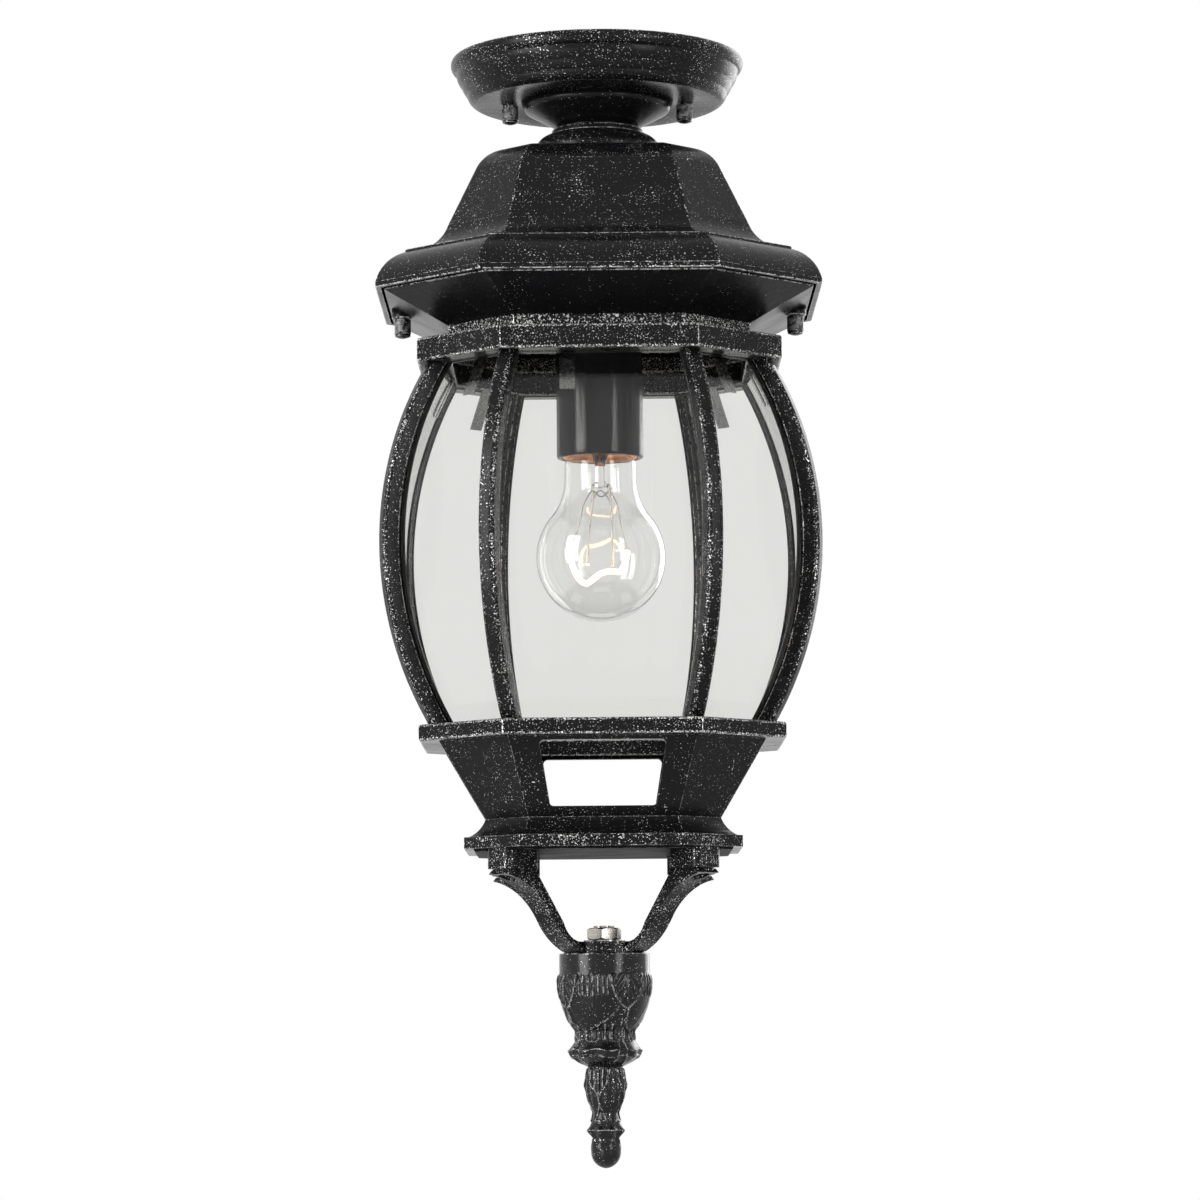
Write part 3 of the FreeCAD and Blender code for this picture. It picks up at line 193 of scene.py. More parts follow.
def paneGlass(name, tint, dark, ior):  # clear on its faces, with painted shade on its edges for the ribs seen through them
    material, finish = newFinish(name)
    clear = finish.principled({
        "Base Color": tint, "Roughness": 0.0, "Transmission Weight": 1.0, "IOR": ior})
    # painted shade: a dark rim standing in for the ribs seen through the glass's edge
    darkRim = finish.principled({"Base Color": dark, "Roughness": 0.4})
    finish.finishWith(finish.mix(finish.between(finish.edges(), 0.3, 0.8), clear, darkRim))
    return material


def brushed(name, colour, rough, grain):  # a metal whose gloss varies a little
    material, finish = newFinish(name)
    wearAndGlint = finish.between(finish.noise(grain, 3.0), 0.25, 0.75, rough * 0.75, rough * 1.3)
    finish.finishWith(finish.principled({
        "Base Color": (*colour, 1.0), "Roughness": wearAndGlint, "Metallic": 1.0}))
    return material


def glowing(colour, strength):  # the inputs that make a surface give light
    return {"Emission_Color": (*colour, 1.0), "Emission_Strength": strength}


finishes = {
    "coatPlain": powderCoat("coat_plain", 0.65),
    "coatFlecked": powderCoat("coat_flecked", 0.66),
    "coatDense": powderCoat("coat_dense", 0.635),
    "coatCollar": powderCoat("coat_collar", 0.70, 0.9, ((-137.6, -130.8, 0.13),)),
    "coatBasket": powderCoat("coat_basket", 0.665, 1.0, ((-370.2, -364.6, 0.06),)),
    "coatCast": powderCoat("coat_cast", 0.615),
    # these last three coats carry less or more of the painted edge highlight
    "coatFlat": powderCoat("coat_flat", 0.70, 0.8, edgeGlints=0.3, rough=0.5, gloss=0.03),
    "coatLeaf": powderCoat("coat_leaf", 0.675, edgeGlints=0.55, rough=0.17, gloss=0.26),
    "nutBlack": powderCoat("nut_black", 0.68, 0.8, edgeGlints=0.7, rough=0.16, gloss=0.45),
    "zinc": brushed("zinc", (0.36, 0.345, 0.31), 0.27, 900),
    "clipSteel": brushed("clip_steel", (0.26, 0.26, 0.26), 0.25, 500),
    "green": principled("green_paint", (0.02, 0.22, 0.06), 0.35),
    "pane": paneGlass("pane_glass", (0.865, 0.865, 0.852, 1.0), (0.02, 0.02, 0.02, 1.0), 1.25),
    "phenolic": principled("phenolic", (0.007, 0.007, 0.008), 0.2, Specular_IOR_Level=0.35),
    # the copper shell glows faintly orange: painted warm light, though it is no lamp
    "copper": principled("copper", (0.85, 0.40, 0.20), 0.3, 1.0,
                         **glowing((1.0, 0.42, 0.16), 0.16)),
    "brass": brushed("brass", (0.82, 0.62, 0.30), 0.25, 700),
    "wireBlack": principled("wire_black", (0.015, 0.015, 0.016), 0.45),
    "wireWhite": principled("wire_white", (0.75, 0.74, 0.71), 0.45),
    "aluminium": brushed("aluminium", (0.80, 0.80, 0.79), 0.28, 800),
    "baseGlass": principled("base_glass", (0.010, 0.012, 0.014), 0.12),
    "solder": brushed("solder", (0.62, 0.62, 0.63), 0.35, 900),
    "lampGlass": principled("lamp_glass", (0.97, 0.97, 0.965), 0.0,
                            Transmission_Weight=1.0, IOR=1.45),
    "support": brushed("support_wire", (0.50, 0.47, 0.44), 0.3, 900),
    "glow": principled("filament_glow", (0.9, 0.7, 0.4), 0.5, **glowing((1.0, 0.62, 0.28), 14.0)),
}
print("finishes made:", len(finishes))


# Outlines. A point is (across, up), or (across, up, rounding), or (across, up, radius, turn)
# for one reached by an arc, turn 1 being anticlockwise, with the rounding as a fifth number.

def bow(start, end, radius, turn, steps):
    first, last = np.array(start, float), np.array(end, float)
    chord = last - first
    length = math.hypot(*chord)
    aside = np.array((-chord[1], chord[0])) / length
    rise = math.sqrt(max(radius ** 2 - length ** 2 / 4, 0.0))
    centre = (first + last) / 2 + turn * rise * aside
    begin = math.atan2(*(first - centre)[::-1])
    sweep = turn * 2 * math.asin(min(length / (2 * radius), 1.0))
    angles = begin + sweep * np.arange(1, steps + 1) / steps
    return centre + radius * np.stack((np.cos(angles), np.sin(angles)), 1)


def rounded(before, here, after, radius, steps, support):
    # an arc tangent to both sides of the corner, with a point just before and just after it
    arrive, leave = here - before, after - here
    lengths = math.hypot(*arrive), math.hypot(*leave)
    arrive, leave = arrive / lengths[0], leave / lengths[1]
    turn = math.atan2(arrive[0] * leave[1] - arrive[1] * leave[0], float(arrive @ leave))
    half = math.tan(abs(turn) / 2)
    if half < 1e-4:
        return [here]
    reach = min(radius * half, 0.45 * min(lengths))
    radius = reach / half
    aside = math.copysign(1, turn) * np.array((-arrive[1], arrive[0]))
    centre = here - arrive * reach + aside * radius
    angles = np.linspace(0, turn, steps + 1)[:, None]
    spoke = -aside * radius
    across = np.array((-spoke[1], spoke[0]))
    arc = list(centre + spoke * np.cos(angles) + across * np.sin(angles))
    rooms = [min(support, 0.4 * (length - reach)) for length in lengths]
    return [here - arrive * (reach + rooms[0])] + arc + [here + leave * (reach + rooms[1])]


def outline(points, closed=False, arcSteps=10, cornerSteps=4, support=0.3, grain=None):
    path = []
    for index, point in enumerate(points):
        if len(point) > 3:
            steps = arcSteps
            if grain is not None:
                steps = math.ceil(math.dist(points[index - 1][:2], point[:2]) / grain)
            arc = bow(points[index - 1][:2], point[:2], point[2], point[3], steps)
            path += [(x, y, 0) for x, y in arc[:-1]]
        rounding = point[2] if len(point) == 3 else point[4] if len(point) == 5 else 0
        path.append((point[0], point[1], rounding))
    places = [np.array(point[:2], float) for point in path]
    result = []
    for index, point in enumerate(path):
        inner = closed or 0 < index < len(path) - 1
        if point[2] and inner:
            before, after = places[index - 1], places[(index + 1) % len(path)]
            result += rounded(before, places[index], after, point[2], cornerSteps, support)
        else:
            result.append(places[index])
    return np.array(result)


def divided(profile, longest):
    # more points along the long runs, so that relief has somewhere to stand
    rows = [profile[:1]]
    for first, last in zip(profile[:-1], profile[1:]):
        count = max(1, math.ceil(math.dist(first, last) / longest))
        rows.append(first + (last - first) * np.arange(1, count + 1)[:, None] / count)
    return np.concatenate(rows)


def turnedSheet(profile, steps, closed=False, middle=(0, 0), wave=None):
    # each profile point (radius, height) goes round the axis; wave adds to the radius
    angles = np.arange(steps) * 2 * math.pi / steps
    radius = np.repeat(profile[:, :1], steps, 1)
    height = np.repeat(profile[:, 1:2], steps, 1)
    if wave is not None:
        radius = radius + wave(angles[None, :], height, radius)
    x, y = middle[0] + radius * np.cos(angles), middle[1] + radius * np.sin(angles)
    return np.stack((x, y, height), 2), closed, True


def facetSheet(profile, extra, corner, closed=True, cornerSteps=3, support=0.5):
    # each profile point (half width, height) goes round a square with cut corners; the two
    # arcs of each quarter stand on the inset corners ((a - r), (a - r) tan 22.5 + extra)
    half, height = profile[:, 0], profile[:, 1]
    extra = np.broadcast_to(extra, half.shape)
    corner = np.broadcast_to(corner, half.shape)
    inset = half - corner
    reach = inset * tanHalf + extra
    loops = []
    for first, centre in ((0.0, (inset, reach)), (eighth, (reach, inset))):
        angles = first + np.linspace(0, eighth, cornerSteps + 1)
        angles = np.concatenate((angles[:1], angles, angles[-1:]))
        slide = np.zeros(len(angles))
        slide[0], slide[-1] = -support, support
        x = centre[0][:, None] + corner[:, None] * np.cos(angles) - slide * np.sin(angles)
        y = centre[1][:, None] + corner[:, None] * np.sin(angles) + slide * np.cos(angles)
        loops.append(np.stack((x, y), 2))
    quarter = np.concatenate(loops, 1)
    turns = [quarter, np.stack((-quarter[..., 1], quarter[..., 0]), 2)]
    plan = np.concatenate(turns + [-turn for turn in turns], 1)
    level = np.repeat(height[:, None], plan.shape[1], 1)
    return np.concatenate((plan, level[..., None]), 2), closed, True


def tubeSheet(path, radius, sides=10):
    # a ring of the given radius stands square to the path at each of its points
    path = np.array(path, float)
    along = np.gradient(path, axis=0)
    along /= np.linalg.norm(along, axis=1)[:, None]
    guide = np.array((0.0, 1.0, 0.0))
    aside = np.cross(along, guide)
    aside /= np.linalg.norm(aside, axis=1)[:, None]
    over = np.cross(along, aside)
    angles = np.arange(sides) * 2 * math.pi / sides
    radius = np.broadcast_to(radius, len(path))[:, None, None]
    rings = path[:, None] + radius * (aside[:, None] * np.cos(angles)[:, None]
                                      + over[:, None] * np.sin(angles)[:, None])
    return capped(rings), False, True


def capped(rings):  # closes both ends of a tube to a point in the middle of its end ring
    first = np.repeat(rings[:1].mean(1, keepdims=True), rings.shape[1], 1)
    last = np.repeat(rings[-1:].mean(1, keepdims=True), rings.shape[1], 1)
    return np.concatenate((first, rings, last))


def smoothPath(points, steps):
    # a cubic between each two points, whose ends slope as the points on either side lie
    points = np.array(points, float)
    padded = np.concatenate((2 * points[:1] - points[1:2], points, 2 * points[-1:] - points[-2:-1]))
    t = (np.arange(steps) / steps)[None, :, None]
    a, b, c, d = (padded[k:len(points) - 1 + k][:, None] for k in range(4))
    curve = 0.5 * (2 * b + (c - a) * t + (2 * a - 5 * b + 4 * c - d) * t ** 2
                   + (3 * b - a - 3 * c + d) * t ** 3)
    return np.concatenate((curve.reshape(-1, points.shape[1]), points[-1:]))


def bends(points, wrapRows, wrapColumns):
    # how fast both lines of the grid turn at each point: the change of direction over the length
    total = np.zeros_like(points)
    for axis, wrapped in ((0, wrapRows), (1, wrapColumns)):
        step = np.roll(points, -1, axis) - points
        length = np.maximum(np.linalg.norm(step, axis=2, keepdims=True), 0.02)
        along = step / length
        turn = 2 * (along - np.roll(along, 1, axis)) / (length + np.roll(length, 1, axis))
        if not wrapped:
            turn[(slice(None),) * axis + ([0, -1],)] = 0
        total += turn
    return total


def makePiece(name, sheets, finish, body, stands, merge=0.004):
    # quads join neighbours on each grid of points; seams and poles are merged
    # a sheet may have a fourth item: how much each point counts as an edge, whatever its shape
    places, turns, marks, quads, start = [], [], [], [], 0
    for points, wrapRows, wrapColumns, *marked in sheets:
        rows, columns = points.shape[:2]
        marks.append(marked[0].ravel() if marked else np.zeros(rows * columns))
        row, column = np.meshgrid(np.arange(rows - (not wrapRows)),
                                  np.arange(columns - (not wrapColumns)), indexing="ij")
        below, beside = (row + 1) % rows, (column + 1) % columns
        corners = (row * columns + column, row * columns + beside,
                   below * columns + beside, below * columns + column)
        quads.append(np.stack(corners, 2).reshape(-1, 4) + start)
        places.append(points.reshape(-1, 3))
        turns.append(bends(points, wrapRows, wrapColumns).reshape(-1, 3))
        start += rows * columns
    places, turns, quads = np.concatenate(places) * mm, np.concatenate(turns), np.concatenate(quads)
    mesh = bpy.data.meshes.new(name)
    mesh.vertices.add(len(places))
    mesh.vertices.foreach_set("co", places.astype(np.float32).ravel())
    mesh.loops.add(quads.size)
    mesh.loops.foreach_set("vertex_index", quads.astype(np.int32).ravel())
    mesh.polygons.add(len(quads))
    mesh.polygons.foreach_set("loop_start", np.arange(len(quads), dtype=np.int32) * 4)
    mesh.update(calc_edges=True)
    for kept, kind, field, values in (("turn", "FLOAT_VECTOR", "vector", turns.ravel()),
                                      ("edge", "FLOAT", "value", np.concatenate(marks))):
        made = mesh.attributes.new(kept, kind, "POINT")
        made.data.foreach_set(field, values.astype(np.float32))
    work = bmesh.new()
    work.from_mesh(mesh)
    bmesh.ops.remove_doubles(work, verts=work.verts, dist=merge * mm)
    bmesh.ops.recalc_face_normals(work, faces=work.faces)
    work.to_mesh(mesh)
    work.free()
    # the outward edges: where the surface turns away from its own normal
    count = len(mesh.vertices)
    turns, normals = np.empty(count * 3, np.float32), np.empty(count * 3, np.float32)
    mesh.attributes["turn"].data.foreach_get("vector", turns)
    mesh.vertex_normals.foreach_get("vector", normals)
    edge = np.empty(count, np.float32)
    mesh.attributes["edge"].data.foreach_get("value", edge)
    edge = np.maximum(edge, -(turns * normals).reshape(-1, 3).sum(1))
    mesh.attributes["edge"].data.foreach_set("value", edge)
    mesh.attributes.remove(mesh.attributes["turn"])
    return showPiece(name, mesh, finish, body, stands)


def showPiece(name, mesh, finish, body, stands):
    mesh.polygons.foreach_set("use_smooth", np.ones(len(mesh.polygons), dtype=bool))
    mesh.materials.clear()
    mesh.materials.append(finishes[finish])
    piece = bpy.data.objects.new(name, mesh)
    bpy.context.scene.collection.objects.link(piece)
    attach(piece, body)
    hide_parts(*stands)
    return piece


sharpAngle = math.radians(28)


def easedCopy(name, node, width, finish, body, posts=None):
    # the node's own solid, merged to whole faces, with its sharp edges rounded and marked as edges
    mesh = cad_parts[node].data.copy()
    mesh.name = name
    work = bmesh.new()
    work.from_mesh(mesh)
    bmesh.ops.remove_doubles(work, verts=work.verts, dist=0.002 * mm)
    bmesh.ops.dissolve_limit(work, angle_limit=math.radians(0.5),
                             verts=work.verts, edges=work.edges)
    mark = work.loops.layers.float.new("edge")

    def ease(edges, offset, value):
        cut = bmesh.ops.bevel(work, geom=edges, offset=offset * mm, offset_type="OFFSET",
                              segments=3, profile=0.5, affect="EDGES", clamp_overlap=True)
        for face in cut["faces"]:
            for corner in face.loops:
                corner[mark] = value

    def sharp():
        return [edge for edge in work.edges
                if len(edge.link_faces) == 2 and edge.calc_face_angle() > sharpAngle]

    if posts:  # the upright edges between two heights are rounded more, and marked less
        low, high, offset = posts
        ease([edge for edge in sharp()
              if all(low * mm < vert.co.z < high * mm for vert in edge.verts)
              and abs(edge.verts[0].co.z - edge.verts[1].co.z) > 0.9 * edge.calc_length()],
             offset, 0.4)
    ease(sharp(), width, 1.0)
    work.to_mesh(mesh)
    work.free()
    piece = showPiece(name, mesh, finish, body, [node])
    even = piece.modifiers.new("flat faces", "WEIGHTED_NORMAL")
    even.weight = 100
    return piece


# The spun canopy, the neck and the roof's cap

cover = {
    "radius": 68.4, "grooves": (65.9, 63.3), "shoulder": 60.8, "shoulderHigh": 4.4, "face": 56.6,
    "depth": 21.0, "bead": 6.2, "beadRound": 10.0, "topRound": 3.9, "lowRound": 5.2,
    "wall": 1.4, "bore": 5.3,
    "neckTop": (35.2, 33.6, 24.4),  # the cone's radius at its top, at its lip, and the lip's drop
    "neckWaist": 17.1, "neckDrop": 33.1, "collar": 21.6, "collarDrop": 36.2,
    "capRadius": 29.6, "capTop": 22.4, "capDrop": 48.0, "capRound": 8.5, "capFall": 7.4,
}


def canopy():
    c = cover
    deep, bead = -c["depth"], c["bead"]
    grooves, wall = c["grooves"], c["wall"]
    profile = outline([
        (c["bore"], deep + wall), (c["bore"], deep), (c["face"], deep, 0.6),
        (c["shoulder"], deep + c["shoulderHigh"], c["lowRound"], 1),
        (grooves[1], -2 * bead, c["beadRound"], 1),
        (grooves[0], -bead, c["beadRound"], 1),
        (c["radius"] - 0.8, -0.3, c["topRound"], 1),
        (c["radius"] - 1.1, 0), (c["radius"] - wall, 0), (grooves[0] - wall, -bead),
        (grooves[1] - wall, -2 * bead), (c["shoulder"] - wall, deep + c["shoulderHigh"]),
        (c["face"] - wall / 2, deep + wall)], closed=True, arcSteps=12)
    sheet = turnedSheet(profile, 160, True)
    makePiece("canopy_cover", [sheet], "coatPlain", "root", ["canopy"])


def neckPieces():
    c = cover
    middle, low = -c["collarDrop"], -c["capDrop"]
    profile = outline([
        (c["bore"], -c["depth"]), (c["bore"], middle), (c["collar"], middle, 0.5),
        (c["collar"] - 0.4, -c["neckDrop"] - 0.3, 0.9), (c["neckWaist"], -c["neckDrop"], 0.8),
        (c["neckTop"][1], -c["neckTop"][2], 3.0), (c["neckTop"][0], -c["depth"])], closed=True)
    sheet = turnedSheet(profile, 128, True)
    makePiece("neck_cone", [sheet], "coatCollar", "root", ["neck"])
    profile = outline([
        (c["bore"], middle), (c["bore"], low), (c["capRadius"], low, 0.4),
        (c["capRadius"], middle - c["capFall"]), (c["capTop"], middle, c["capRound"], 1)],
        closed=True)
    sheet = turnedSheet(profile, 128, True)
    makePiece("roof_cap_dome", [sheet], "coatFlecked", "root", ["roof_cap"])


canopy()
neckPieces()
print("canopy and neck made")

# The cast roof: one moulding on eight facets, hollow, with a flared and rolled brim

eaves = {
    "top": -48.0, "extra": 11.5, "wall": 2.6, "ridge": 1.6, "lip": 2.5,
    "shoulder": 46.0, "eave": (55.5, 8.5, 18.0), "slope": (68.8, 36.7),
    "flare": (86.9, 49.7, 19.0), "rim": (101.6, 67.5, 20.0), "bore": 5.3,
    "boss": 5.1, "bossPlace": 91.4, "bossDrops": (100.3, 108.7),
}


def roof():
    e = eaves
    top, wall = e["top"], e["wall"]
    rimLow = top - e["rim"][1]
    moulding = [
        (e["shoulder"] - 1.2, top, 2.4),
        (e["eave"][0], top - e["eave"][1], e["eave"][2], -1, 1.2),
        (e["slope"][0], top - e["slope"][1], 1.5),
        (e["flare"][0] - 0.5, top - e["flare"][1] + 0.1, e["flare"][2], 1),
        (e["flare"][0] + 0.1, top - e["flare"][1] + 0.75, 0.35),
        (e["flare"][0] + 1.1, top - e["flare"][1] + 0.35, 0.3),
        (e["flare"][0] + 1.3, top - e["flare"][1] - 0.75, 0.3),
        (e["rim"][0], rimLow + e["lip"], e["rim"][2], -1, 0.8),
        (e["rim"][0], rimLow, 0.5),
        (e["rim"][0] - wall, rimLow, 0.4),
        (e["rim"][0] - wall, rimLow + e["lip"] - wall + 3.0),
        (e["flare"][0] - wall, top - e["flare"][1] - wall, e["rim"][2], 1),
        (e["slope"][0] - wall, top - e["slope"][1] - wall, e["flare"][2], -1),
        (e["eave"][0] - wall, top - e["eave"][1] - wall),
        (e["shoulder"] - wall, top - wall, e["eave"][2], 1)]
    wallPath = outline(moulding, arcSteps=14, cornerSteps=4)
    bore, near = e["bore"], e["bore"] * 1.6
    hub = np.array(((near, top - wall), (bore, top - wall), (bore, top), (near, top)))
    profile = np.concatenate((wallPath, hub))
    # the facets' cut corners and sharp ridges fade to a circle at the bore
    share = np.clip((profile[:, 0] - bore) / (e["shoulder"] * 0.7), 0, 1)
    corner = np.where(profile[:, 0] > e["shoulder"] - wall - 1, e["ridge"], bore * 0.6)
    sheets = [facetSheet(profile, e["extra"] * share, corner)]
    for side in (-1, 1):
        boss = outline([(0, -e["bossDrops"][0]), (e["boss"], -e["bossDrops"][0]),
                        (e["boss"], -e["bossDrops"][1]), (0, -e["bossDrops"][1])])
        sheets.append(turnedSheet(boss, 32, middle=(side * e["bossPlace"], 0)))
    makePiece("roof_cast", sheets, "coatFlecked", "root", ["roof"])


roof()
print("roof made")

# The cage: fitter, two rings, eight bowed ribs and eight bowed panes

cage = {
    "extra": 10.0, "nest": 97.8, "nestDrop": 112.9, "rimDrop": 115.9, "wall": 2.4,
    "foot": 69.0, "slopeDrop": 131.0, "ringDrop": 137.5, "ringHigh": 10.8, "lowHigh": 7.4,
    "outer": 83.2, "inner": 66.5, "ease": 1.1, "corner": 0.8,
    "glassTop": 148.3, "glassHigh": 165.8, "ribEnd": 77.8, "bulge": 21.8,
    "ribWide": 7.5, "ribDeep": 7.0, "webWide": 3.0, "webDeep": 3.2, "ribRound": 1.9,
    "paneThick": 2.5, "gap": 0.3, "boss": 5.1, "bossPlace": 91.4, "bossDrops": (116.4, 121.6),
}


def fitterAndRings():
    c = cage
    profile = outline([
        (c["nest"], -c["nestDrop"], 0.3), (c["nest"], -c["rimDrop"], 0.8),
        (c["foot"], -c["slopeDrop"], 0.9), (c["foot"], -c["ringDrop"], 0.2),
        (c["foot"] - c["wall"], -c["ringDrop"], 0.2),
        (c["foot"] - c["wall"], -c["slopeDrop"] + c["wall"], 0.5),
        (c["nest"] - c["wall"], -c["rimDrop"] + 1.6, 0.5),
        (c["nest"] - c["wall"], -c["nestDrop"], 0.3)], closed=True)
    sheets = [facetSheet(profile, c["extra"], c["corner"])]
    for side in (-1, 1):
        boss = outline([(0, -c["bossDrops"][0]), (c["boss"], -c["bossDrops"][0]),
                        (c["boss"], -c["bossDrops"][1], 0.6), (0, -c["bossDrops"][1])])
        sheets.append(turnedSheet(boss, 48, middle=(side * c["bossPlace"], 0)))
    makePiece("fitter_collar", sheets, "coatCollar", "cage", ["cage_fitter"])
    low = c["glassTop"] + c["glassHigh"]
    for name, node, top, high in (("ring_upper", "cage_top_ring", c["ringDrop"], c["ringHigh"]),
                                  ("ring_lower", "cage_low_ring", low, c["lowHigh"])):
        profile = outline([
            (c["outer"], -top, c["ease"]), (c["outer"], -top - high, c["ease"]),
            (c["inner"], -top - high, 0.6), (c["inner"], -top, 0.6)], closed=True)
        sheet = facetSheet(profile, c["extra"], c["corner"])
        makePiece(name, [sheet], "coatDense", "cage", [node])


def bowed(end, bulge, rows):
    # heights down the glass, and how far a circle through both ends and the bulge stands out
    half = cage["glassHigh"] / 2
    radius = (half ** 2 + bulge ** 2) / (2 * bulge)
    rows = np.linspace(-1, 1, rows)
    rows = np.concatenate((rows[:1], (-0.99,), rows[1:-1], (0.99,), rows[-1:]))
    slope = rows * math.asin(half / radius)
    away = end + bulge - radius + radius * np.cos(slope)
    return away, -cage["glassTop"] - half - radius * np.sin(slope)


def ribs():
    c = cage
    stretch = 1 / cosHalf
    out, height = bowed(c["ribEnd"] * stretch, c["bulge"] * stretch, 49)
    deep, web = c["ribDeep"] * stretch, c["webDeep"] * stretch
    wide, thin = c["ribWide"] / 2, c["webWide"] / 2
    section = outline([
        (0, -wide, c["ribRound"]), (0, wide, c["ribRound"]), (-deep, wide, 0.7),
        (-deep, thin, 0.3), (-deep - web, thin, 0.4), (-deep - web, -thin, 0.4),
        (-deep, -thin, 0.3), (-deep, -wide, 0.7)], closed=True)
    for quarter in range(4):
        for corner in (0, 1):
            angle = math.radians(90 * quarter + (67.5 if corner else 22.5))
            shift = math.radians(90 * quarter + (0 if corner else 90))
            along, side = out[:, None] + section[:, 0], section[:, 1]
            x = along * math.cos(angle) - side * math.sin(angle) + c["extra"] * math.cos(shift)
            y = along * math.sin(angle) + side * math.cos(angle) + c["extra"] * math.sin(shift)
            z = np.repeat(height[:, None], len(section), 1)
            number = 2 * quarter + corner + 1
            makePiece("rib_bar_%d" % number, [(capped(np.stack((x, y, z), 2)), False, True)],
                      "coatFlecked", "cage", ["cage_rib_%d" % number])


def panes():
    c = cage
    thick = c["paneThick"]
    edge = [(0, -0.6), (0, -0.3), (-0.1, -0.1), (-0.3, 0), (-thick + 0.3, 0),
            (-thick + 0.1, -0.1), (-thick, -0.3), (-thick, -0.6)]  # (depth, in from the edge)
    depth = np.array([point[0] for point in edge] + [point[0] for point in edge[::-1]])
    inward = np.array([point[1] for point in edge])
    clear = (c["webWide"] / 2 + c["gap"]) / cosHalf
    names = ("right", "back_right", "back", "back_left",
             "left", "front_left", "front", "front_right")
    for step, name in enumerate(names):
        short = step % 2
        end = c["ribEnd"] - c["ribDeep"] - c["gap"] + short * c["extra"] / math.sqrt(2)
        out, height = bowed(end, c["bulge"], 49)
        height = height * (1 - 2 * c["gap"] / c["glassHigh"]) \
            - (c["glassTop"] + c["glassHigh"] / 2) * 2 * c["gap"] / c["glassHigh"]
        away = out[:, None] + depth
        half = away * tanHalf + (-c["extra"] if short else c["extra"]) - clear
        count = len(edge)
        across = np.concatenate((half[:, :count] + inward, -half[:, count:] - inward[::-1]), 1)
        angle = step * eighth
        x = away * math.cos(angle) - across * math.sin(angle)
        y = away * math.sin(angle) + across * math.cos(angle)
        z = np.repeat(height[:, None], len(depth), 1)
        rings = capped(np.stack((x, y, z), 2))
        # painted shade: the pane's edge faces are marked to render dark, standing in for the ribs
        # seen through the glass
        darkRim = np.zeros(rings.shape[:2])
        darkRim[:2], darkRim[-2:] = 1, 1
        darkRim[:, 2:count - 2], darkRim[:, count + 2:-2] = 1, 1
        makePiece("pane_" + name, [(rings, False, True, darkRim)],
                  "pane", "cage", ["glass_" + name])


fitterAndRings()
ribs()
panes()
print("cage made")

# The basket, plate and spider keep their solids' shape, with rounded edges

easedCopy("basket_wall", "basket", 0.8, "coatBasket", "cage")
easedCopy("plate_flat", "bottom_plate", 0.3, "coatFlat", "cage")
easedCopy("spider_cast", "finial_spider", 0.8, "coatCast", "cage", (-380.0, -369.9, 1.8))
print("basket and spider made")

# The hanging finial: a turned core with leaves raised on it

drop = {
    "top": -417.0, "long": 98.0, "collar": 20.8, "collarHigh": 8.5, "bore": 4.9, "boreDeep": 24.0,
    "core": (  # radius and fall below the top, an arc's radius and turn, rounding
        (21.5, 12.5), (14.0, 35.2, 34, -1), (14.6, 40.6, 14, 1, 2.0), (16.9, 44.4, 1.6),
        (16.2, 46.8, 2.0), (12.8, 49.4, 3.0), (8.0, 51.8, 0.8), (9.0, 58.2, 20, -1),
        (5.7, 72.4, 22, -1, 1.0), (8.8, 80.6, 14, 1, 0.8), (6.2, 84.2, 0.6),
        (6.85, 90.4, 13.8, -1)),
    "endRound": 7.4, "arcStep": 0.55, "longest": 0.7, "columns": 320,
    "turn": -60,  # where the big leaves meet, and every quarter on from there
    "budTurn": -112, "leaves": 4, "raised": 1.45, "sunk": 0.3,
    "rim": 0.55, "rimWide": 0.68, "pleat": 2.5, "flutes": 28,
    # half widths of a short leaf, a big leaf and a tongue
    "shortHalf": 8.4, "bigHalf": 13.6, "tongueHalf": 5.2,
    # how far below the top each pattern starts and ends
    "leafed": (9.0, 48), "short": (9.2, 26), "big": (9.2, 36.0), "roots": (9.4, 20.5),
    "seam": (24.5, 51.5), "fluted": (31.5, 40), "tongue": (52, 65), "tips": (53, 70),
    "corner": (65, 76.6), "curl": 45.6, "flare": 81.4, "lowFlare": 85.2,
}


def ramp(value, low, high):  # rises smoothly from 0 to 1
    share = np.clip((value - low) / (high - low), 0, 1)
    return share * share * (3 - 2 * share)


def span(value, low, high, soft=0.8):  # 1 between low and high, fading just inside them
    return ramp(value, low, low + soft) * (1 - ramp(value, high - soft, high))


def wire(distance, wide=drop["rimWide"]):  # a thin raised line
    return np.exp(-(distance / wide) ** 2)


